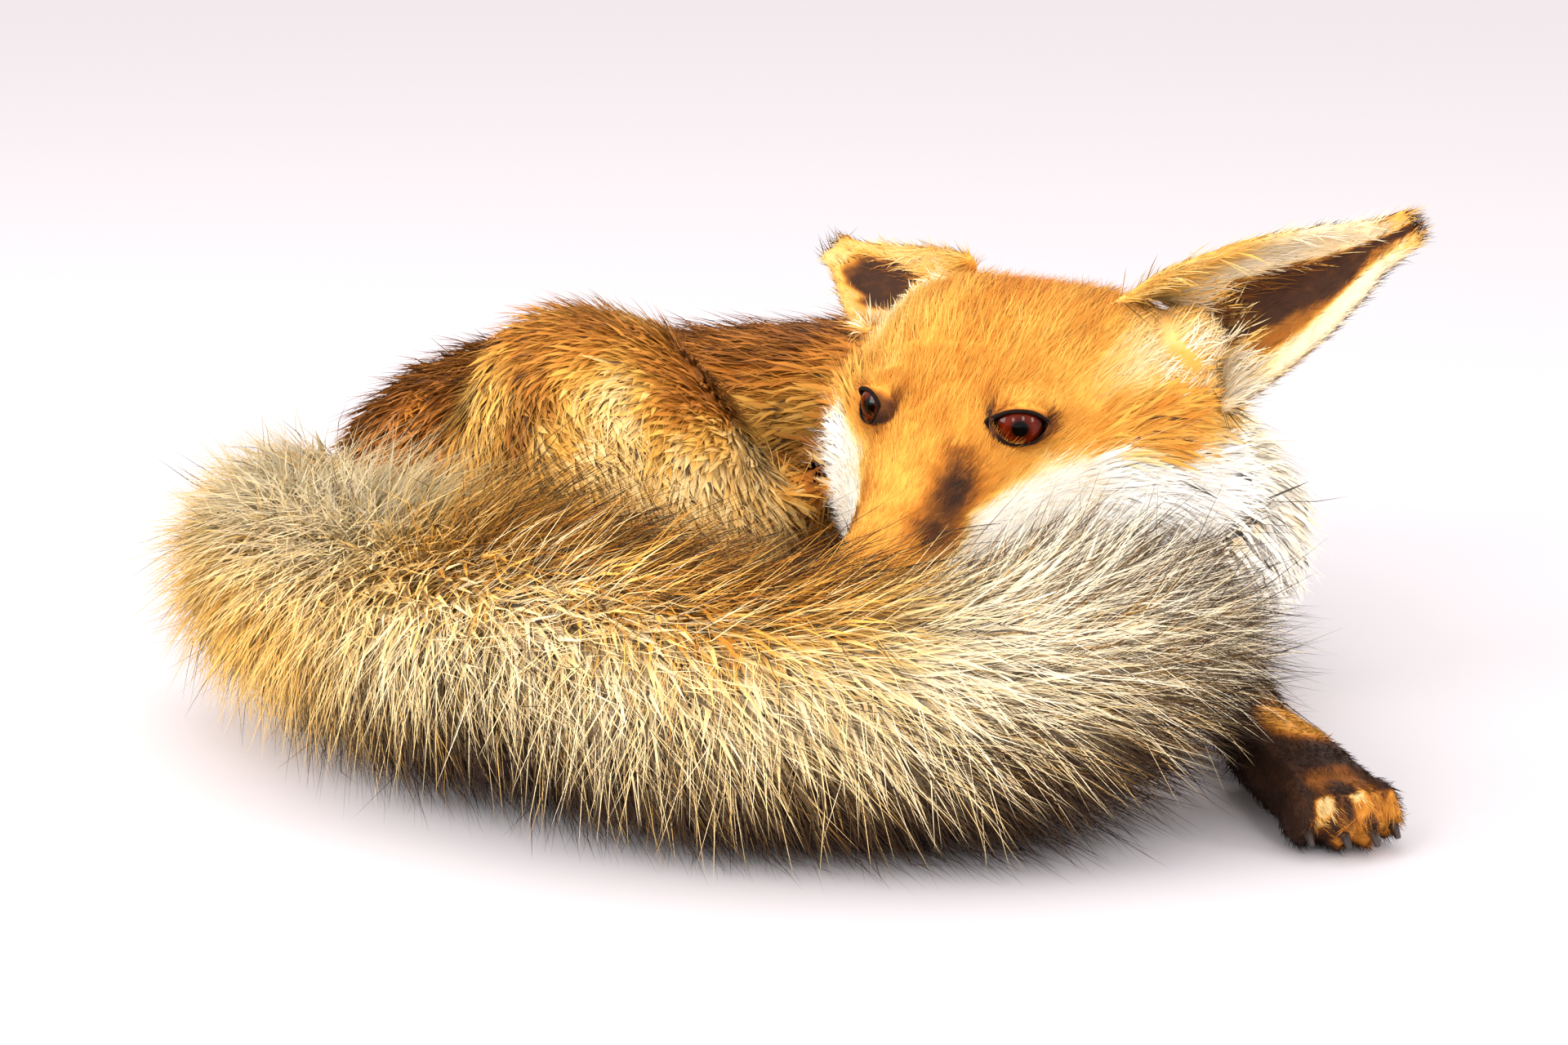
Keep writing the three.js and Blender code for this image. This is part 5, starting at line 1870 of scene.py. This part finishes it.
def nose_leather():
    points, faces = fused(["nose"], grow=0.2, cell=0.7)
    points = relaxed(points, edges_of(faces), 8)
    h = to_head(points)
    middle = to_head(np.array([middle_of("nose")]))[0]
    push = np.zeros(len(points))
    for side in (1, -1):
        spot = middle + (NOSTRIL[0], side * NOSTRIL[1], NOSTRIL[2])
        gap = np.linalg.norm((h - spot) / NOSTRIL_RADII, axis=1)
        push -= NOSTRIL_DEPTH * np.exp(-(gap**2))
    lower_front = ease(middle[0], middle[0] + 3, h[:, 0]) * ease(1, -1, h[:, 2] - middle[2])
    push -= NOSE_FURROW_DEPTH * np.exp(-((h[:, 1] / NOSE_FURROW) ** 2)) * lower_front
    points = points + normals_of(points, faces) * push[:, None] * MM
    mesh = mesh_of("nose", points, faces)
    mesh.materials.append(plain_material("nose leather", (38, 28, 25), 0.42, 0.5, 1300.0, 0.3, 0.15))
    return finish(placed("nose_leather", mesh), "nose_leather", "nose")


nose = nose_leather()
print("nose triangles:", len(nose.data.polygons))

# %% [markdown]
# ## Claws and whiskers with Geometry Nodes
#
# A claw and a whisker are the same idea at two sizes: a curve that bends and tapers to a point. One
# node tree makes both. It takes points, each with a direction, a length and a bend, puts a tapered
# spike on every one, and ends with real mesh in its material.

# %% The tree
def spike_tree():
    tree = bpy.data.node_groups.new("Tapered Spikes", "GeometryNodeTree")
    face = tree.interface
    face.new_socket("Geometry", in_out="INPUT", socket_type="NodeSocketGeometry")
    sizes = {}
    for name, value in (("Length", 0.01), ("Root Radius", 0.001), ("Bend", 0.2), ("Tip Share", 0.05)):
        socket = face.new_socket(name, in_out="INPUT", socket_type="NodeSocketFloat")
        socket.default_value = value
        sizes[name] = socket.identifier
    for name, value in (("Rings", 8), ("Sides", 6)):
        socket = face.new_socket(name, in_out="INPUT", socket_type="NodeSocketInt")
        socket.default_value = value
        sizes[name] = socket.identifier
    socket = face.new_socket("Material", in_out="INPUT", socket_type="NodeSocketMaterial")
    sizes["Material"] = socket.identifier
    face.new_socket("Geometry", in_out="OUTPUT", socket_type="NodeSocketGeometry")
    nodes, links = tree.nodes, tree.links
    given, made = nodes.new("NodeGroupInput"), nodes.new("NodeGroupOutput")

    def node(kind, **settings):
        one = nodes.new(kind)
        for key, value in settings.items():
            setattr(one, key, value)
        return one

    def product(a, b):
        one = node("ShaderNodeMath", operation="MULTIPLY")
        links.new(a, one.inputs[0])
        if isinstance(b, float):
            one.inputs[1].default_value = b
        else:
            links.new(b, one.inputs[1])
        return one.outputs[0]

    middle = node("ShaderNodeCombineXYZ")
    links.new(product(given.outputs["Length"], 0.5), middle.inputs[2])
    end = node("ShaderNodeCombineXYZ")
    links.new(product(given.outputs["Length"], given.outputs["Bend"]), end.inputs[0])
    links.new(product(given.outputs["Length"], 0.95), end.inputs[2])
    bow = node("GeometryNodeCurveQuadraticBezier")
    links.new(given.outputs["Rings"], bow.inputs["Resolution"])
    links.new(middle.outputs[0], bow.inputs["Middle"])
    links.new(end.outputs[0], bow.inputs["End"])
    bow.inputs["Start"].default_value = (0.0, 0.0, 0.0)
    reach = node("GeometryNodeSplineParameter")
    taper = node("ShaderNodeMapRange")
    links.new(reach.outputs["Factor"], taper.inputs[0])
    taper.inputs[3].default_value = 1.0
    links.new(given.outputs["Tip Share"], taper.inputs[4])
    sized = node("GeometryNodeSetCurveRadius")
    links.new(bow.outputs[0], sized.inputs["Curve"])
    links.new(product(taper.outputs[0], given.outputs["Root Radius"]), sized.inputs["Radius"])
    ring = node("GeometryNodeCurvePrimitiveCircle")
    links.new(given.outputs["Sides"], ring.inputs["Resolution"])
    ring.inputs["Radius"].default_value = 1.0
    spike = node("GeometryNodeCurveToMesh")
    links.new(sized.outputs[0], spike.inputs["Curve"])
    links.new(ring.outputs[0], spike.inputs["Profile Curve"])
    spike.inputs["Fill Caps"].default_value = True
    radius = node("GeometryNodeInputRadius")
    links.new(radius.outputs[0], spike.inputs["Scale"])
    turn = node("GeometryNodeInputNamedAttribute", data_type="FLOAT_VECTOR")
    turn.inputs["Name"].default_value = "turn"
    scale = node("GeometryNodeInputNamedAttribute", data_type="FLOAT")
    scale.inputs["Name"].default_value = "size"
    put = node("GeometryNodeInstanceOnPoints")
    links.new(given.outputs["Geometry"], put.inputs["Points"])
    links.new(spike.outputs[0], put.inputs["Instance"])
    links.new(turn.outputs["Attribute"], put.inputs["Rotation"])
    links.new(scale.outputs["Attribute"], put.inputs["Scale"])
    real = node("GeometryNodeRealizeInstances")
    links.new(put.outputs[0], real.inputs[0])
    painted = node("GeometryNodeSetMaterial")
    links.new(real.outputs[0], painted.inputs["Geometry"])
    links.new(given.outputs["Material"], painted.inputs["Material"])
    links.new(painted.outputs[0], made.inputs[0])
    return tree, sizes


SPIKES, SPIKE_SIZES = spike_tree()


def spikes(name, roots, ways, bends, sizes, **values):
    """One mesh with a spike at each root, along ways, curling towards bends."""
    mesh = bpy.data.meshes.new(name)
    mesh.from_pydata([tuple(p) for p in roots], [], [])
    turns = []
    for way, bend in zip(ways, bends):
        z = Vector(way).normalized()
        x = Vector(bend)
        x = (x - z * x.dot(z)).normalized()
        turns += Matrix((x, z.cross(x), z)).transposed().to_euler()[:]
    mesh.attributes.new("turn", "FLOAT_VECTOR", "POINT").data.foreach_set("vector", turns)
    mesh.attributes.new("size", "FLOAT", "POINT").data.foreach_set("value", sizes)
    thing = placed(name, mesh)
    nodes = thing.modifiers.new("spikes", "NODES")
    nodes.node_group = SPIKES
    for key, value in values.items():
        nodes[SPIKE_SIZES[key.replace("_", " ")]] = value
    made = finished(thing, name)
    for attribute in ("turn", "size"):
        if attribute in made.attributes:
            made.attributes.remove(made.attributes[attribute])
    for polygon in made.polygons:
        polygon.use_smooth = True
    return placed(name, made)


# %% Claws
CLAW_NODES = [f"claw_{leg}_{i}" for leg in LEGS for i in range(1, 5)]
HORN = plain_material("claw horn", (46, 33, 26), 0.38, 0.5, 500.0, 0.15)
CLAW_LENGTH, CLAW_RADIUS, CLAW_SUNK = 6.8 * MM, 1.9 * MM, 0.8 * MM


def claws():
    roots, ways, bends = [], [], []
    for node in CLAW_NODES:
        points, _ = arrays_of(frame["nodes"][node].data)
        paw = middle_of("paw_" + node[5:-2])
        gap = np.linalg.norm(points - paw, axis=1)
        tip = points[gap.argmax()]
        base = points[gap < np.quantile(gap, 0.4)].mean(0)
        way = tip - base
        roots.append(base - unit(way) * CLAW_SUNK)
        ways.append(unit(way) + np.array((0, 0, 0.12)))
        bends.append(DOWN)
    return spikes("claws", roots, ways, bends, [1.0] * len(roots), Length=CLAW_LENGTH,
                  Root_Radius=CLAW_RADIUS, Bend=0.25, Tip_Share=0.42, Rings=9, Sides=12, Material=HORN)


claw_piece = finish(claws(), "claw_horn", *CLAW_NODES)
print("claw triangles:", sum(len(p.vertices) - 2 for p in claw_piece.data.polygons))

# %% Whiskers
BRISTLE = plain_material("whisker", (26, 19, 16), 0.4, 0.5, 300.0, 0.02)
WHISKER_ROWS, WHISKERS_IN_ROW = 4, 5
WHISKER_LENGTH, WHISKER_RADIUS = 46 * MM, 0.22 * MM
# How far from its start beside the muzzle a ray looks for the skin that a whisker stands on.
MUZZLE_WITHIN = 50 * MM


def whiskers():
    roots, ways, bends, sizes = [], [], [], []
    rng = np.random.default_rng(77)
    for side in (1, -1):
        for row in range(WHISKER_ROWS):
            for i in range(WHISKERS_IN_ROW):
                h = np.array((52 - 6.5 * i, side * 9.0, -22 - 5.2 * row))
                start = from_head(*(h + (0, side * 20, 4)))
                aim = from_head(h[0], side * 2, h[2] - 2) - start
                hit = skin_tree.ray_cast(Vector(start), Vector(aim).normalized(), MUZZLE_WITHIN)
                if hit[0] is None:
                    continue
                roots.append(np.array(hit[0]) - np.array(hit[1]) * 0.3 * MM)
                way = np.array((-0.75 - 0.12 * i, side * (0.85 - 0.04 * i), 0.10 - 0.14 * row))
                ways.append(head_turn(unit(way + rng.normal(0, 0.06, 3))))
                bends.append(head_turn(np.array((-0.5, 0.0, -0.8))))
                sizes.append(float(rng.uniform(0.65, 1.1) * (0.7 + 0.08 * i)))
    return spikes("whiskers", roots, ways, bends, sizes, Length=WHISKER_LENGTH, Root_Radius=WHISKER_RADIUS,
                  Bend=0.28, Tip_Share=0.12, Rings=10, Sides=4, Material=BRISTLE)


whisker_piece = finish(whiskers(), "coat_dark", "head")
print("whisker triangles:", sum(len(p.vertices) - 2 for p in whisker_piece.data.polygons))

# %% [markdown]
# ## Floor, light and camera
#
# The fox lies on a plain pale floor. A broad soft light hangs above and behind, the strongest stands at
# the left with a weaker one above it, three small ones stand in front, and the white world fills the
# shadows.

# %% The floor
FLOOR_HALF = 8


def pale_floor():
    mesh = bpy.data.meshes.new("floor")
    corners = [(x * FLOOR_HALF, y * FLOOR_HALF, 0) for x, y in ((-1, -1), (1, -1), (1, 1), (-1, 1))]
    mesh.from_pydata(corners, [], [(0, 1, 2, 3)])
    material, _, _, shader = new_material("pale floor", 0.7, 0.2)
    shader.inputs["Base Color"].default_value = color(206, 200, 202)
    mesh.materials.append(material)
    return placed("floor", mesh)


pale_floor()

# %% The lights and the world
def soft_light(name, place, target, size, power):
    lamp = bpy.data.lights.new(name, "AREA")
    lamp.shape = "RECTANGLE"
    lamp.size, lamp.size_y = size
    lamp.energy = power
    thing = bpy.data.objects.new(name, lamp)
    bpy.context.scene.collection.objects.link(thing)
    thing.location = place
    thing.rotation_euler = (Vector(target) - Vector(place)).to_track_quat("-Z", "Y").to_euler()
    return thing


soft_light("overhead", (0.1, 0.3, 1.6), (0, 0, 0), (1.6, 1.2), 5.5).visible_glossy = False
soft_light("side left", (-1.25, -0.35, 0.42), (0, 0, 0.05), (0.6, 0.6), 13.0)
soft_light("above left", (-0.85, -0.75, 1.0), (0, 0, 0.05), (0.6, 0.6), 5.0).visible_glossy = False
soft_light("front left", (-0.57, -1.22, 0.52), (0, 0, 0.06), (0.26, 0.36), 4.0)
soft_light("front", (0.40, -1.25, 0.64), (0, 0, 0.06), (0.22, 0.34), 4.0)
soft_light("front right", (1.15, -0.78, 0.40), (0, 0, 0.06), (0.26, 0.34), 4.0)
world = bpy.data.worlds.new("white room")
world.use_nodes = True
world.node_tree.nodes["Background"].inputs["Color"].default_value = color(250, 248, 249)
world.node_tree.nodes["Background"].inputs["Strength"].default_value = 1.40
bpy.context.scene.world = world
bpy.context.scene.view_settings.view_transform = "Standard"

# %% The camera
CAMERA_ELEVATION = math.radians(13.0)
CAMERA_DISTANCE = 1.15
target = curl + np.array((0.0, -10.0, 58.0)) * MM
lens = bpy.data.cameras.new("camera")
lens.lens, lens.sensor_width = 86.25, 36.0
lens.clip_start = 0.01
camera = bpy.data.objects.new("camera", lens)
bpy.context.scene.collection.objects.link(camera)
back_off = np.array((0.0, -math.cos(CAMERA_ELEVATION), math.sin(CAMERA_ELEVATION)))
camera.location = target + back_off * CAMERA_DISTANCE
camera.rotation_euler = (math.pi / 2 - CAMERA_ELEVATION, 0.0, 0.0)
bpy.context.scene.camera = camera
print("camera at", [round(c, 3) for c in camera.location])
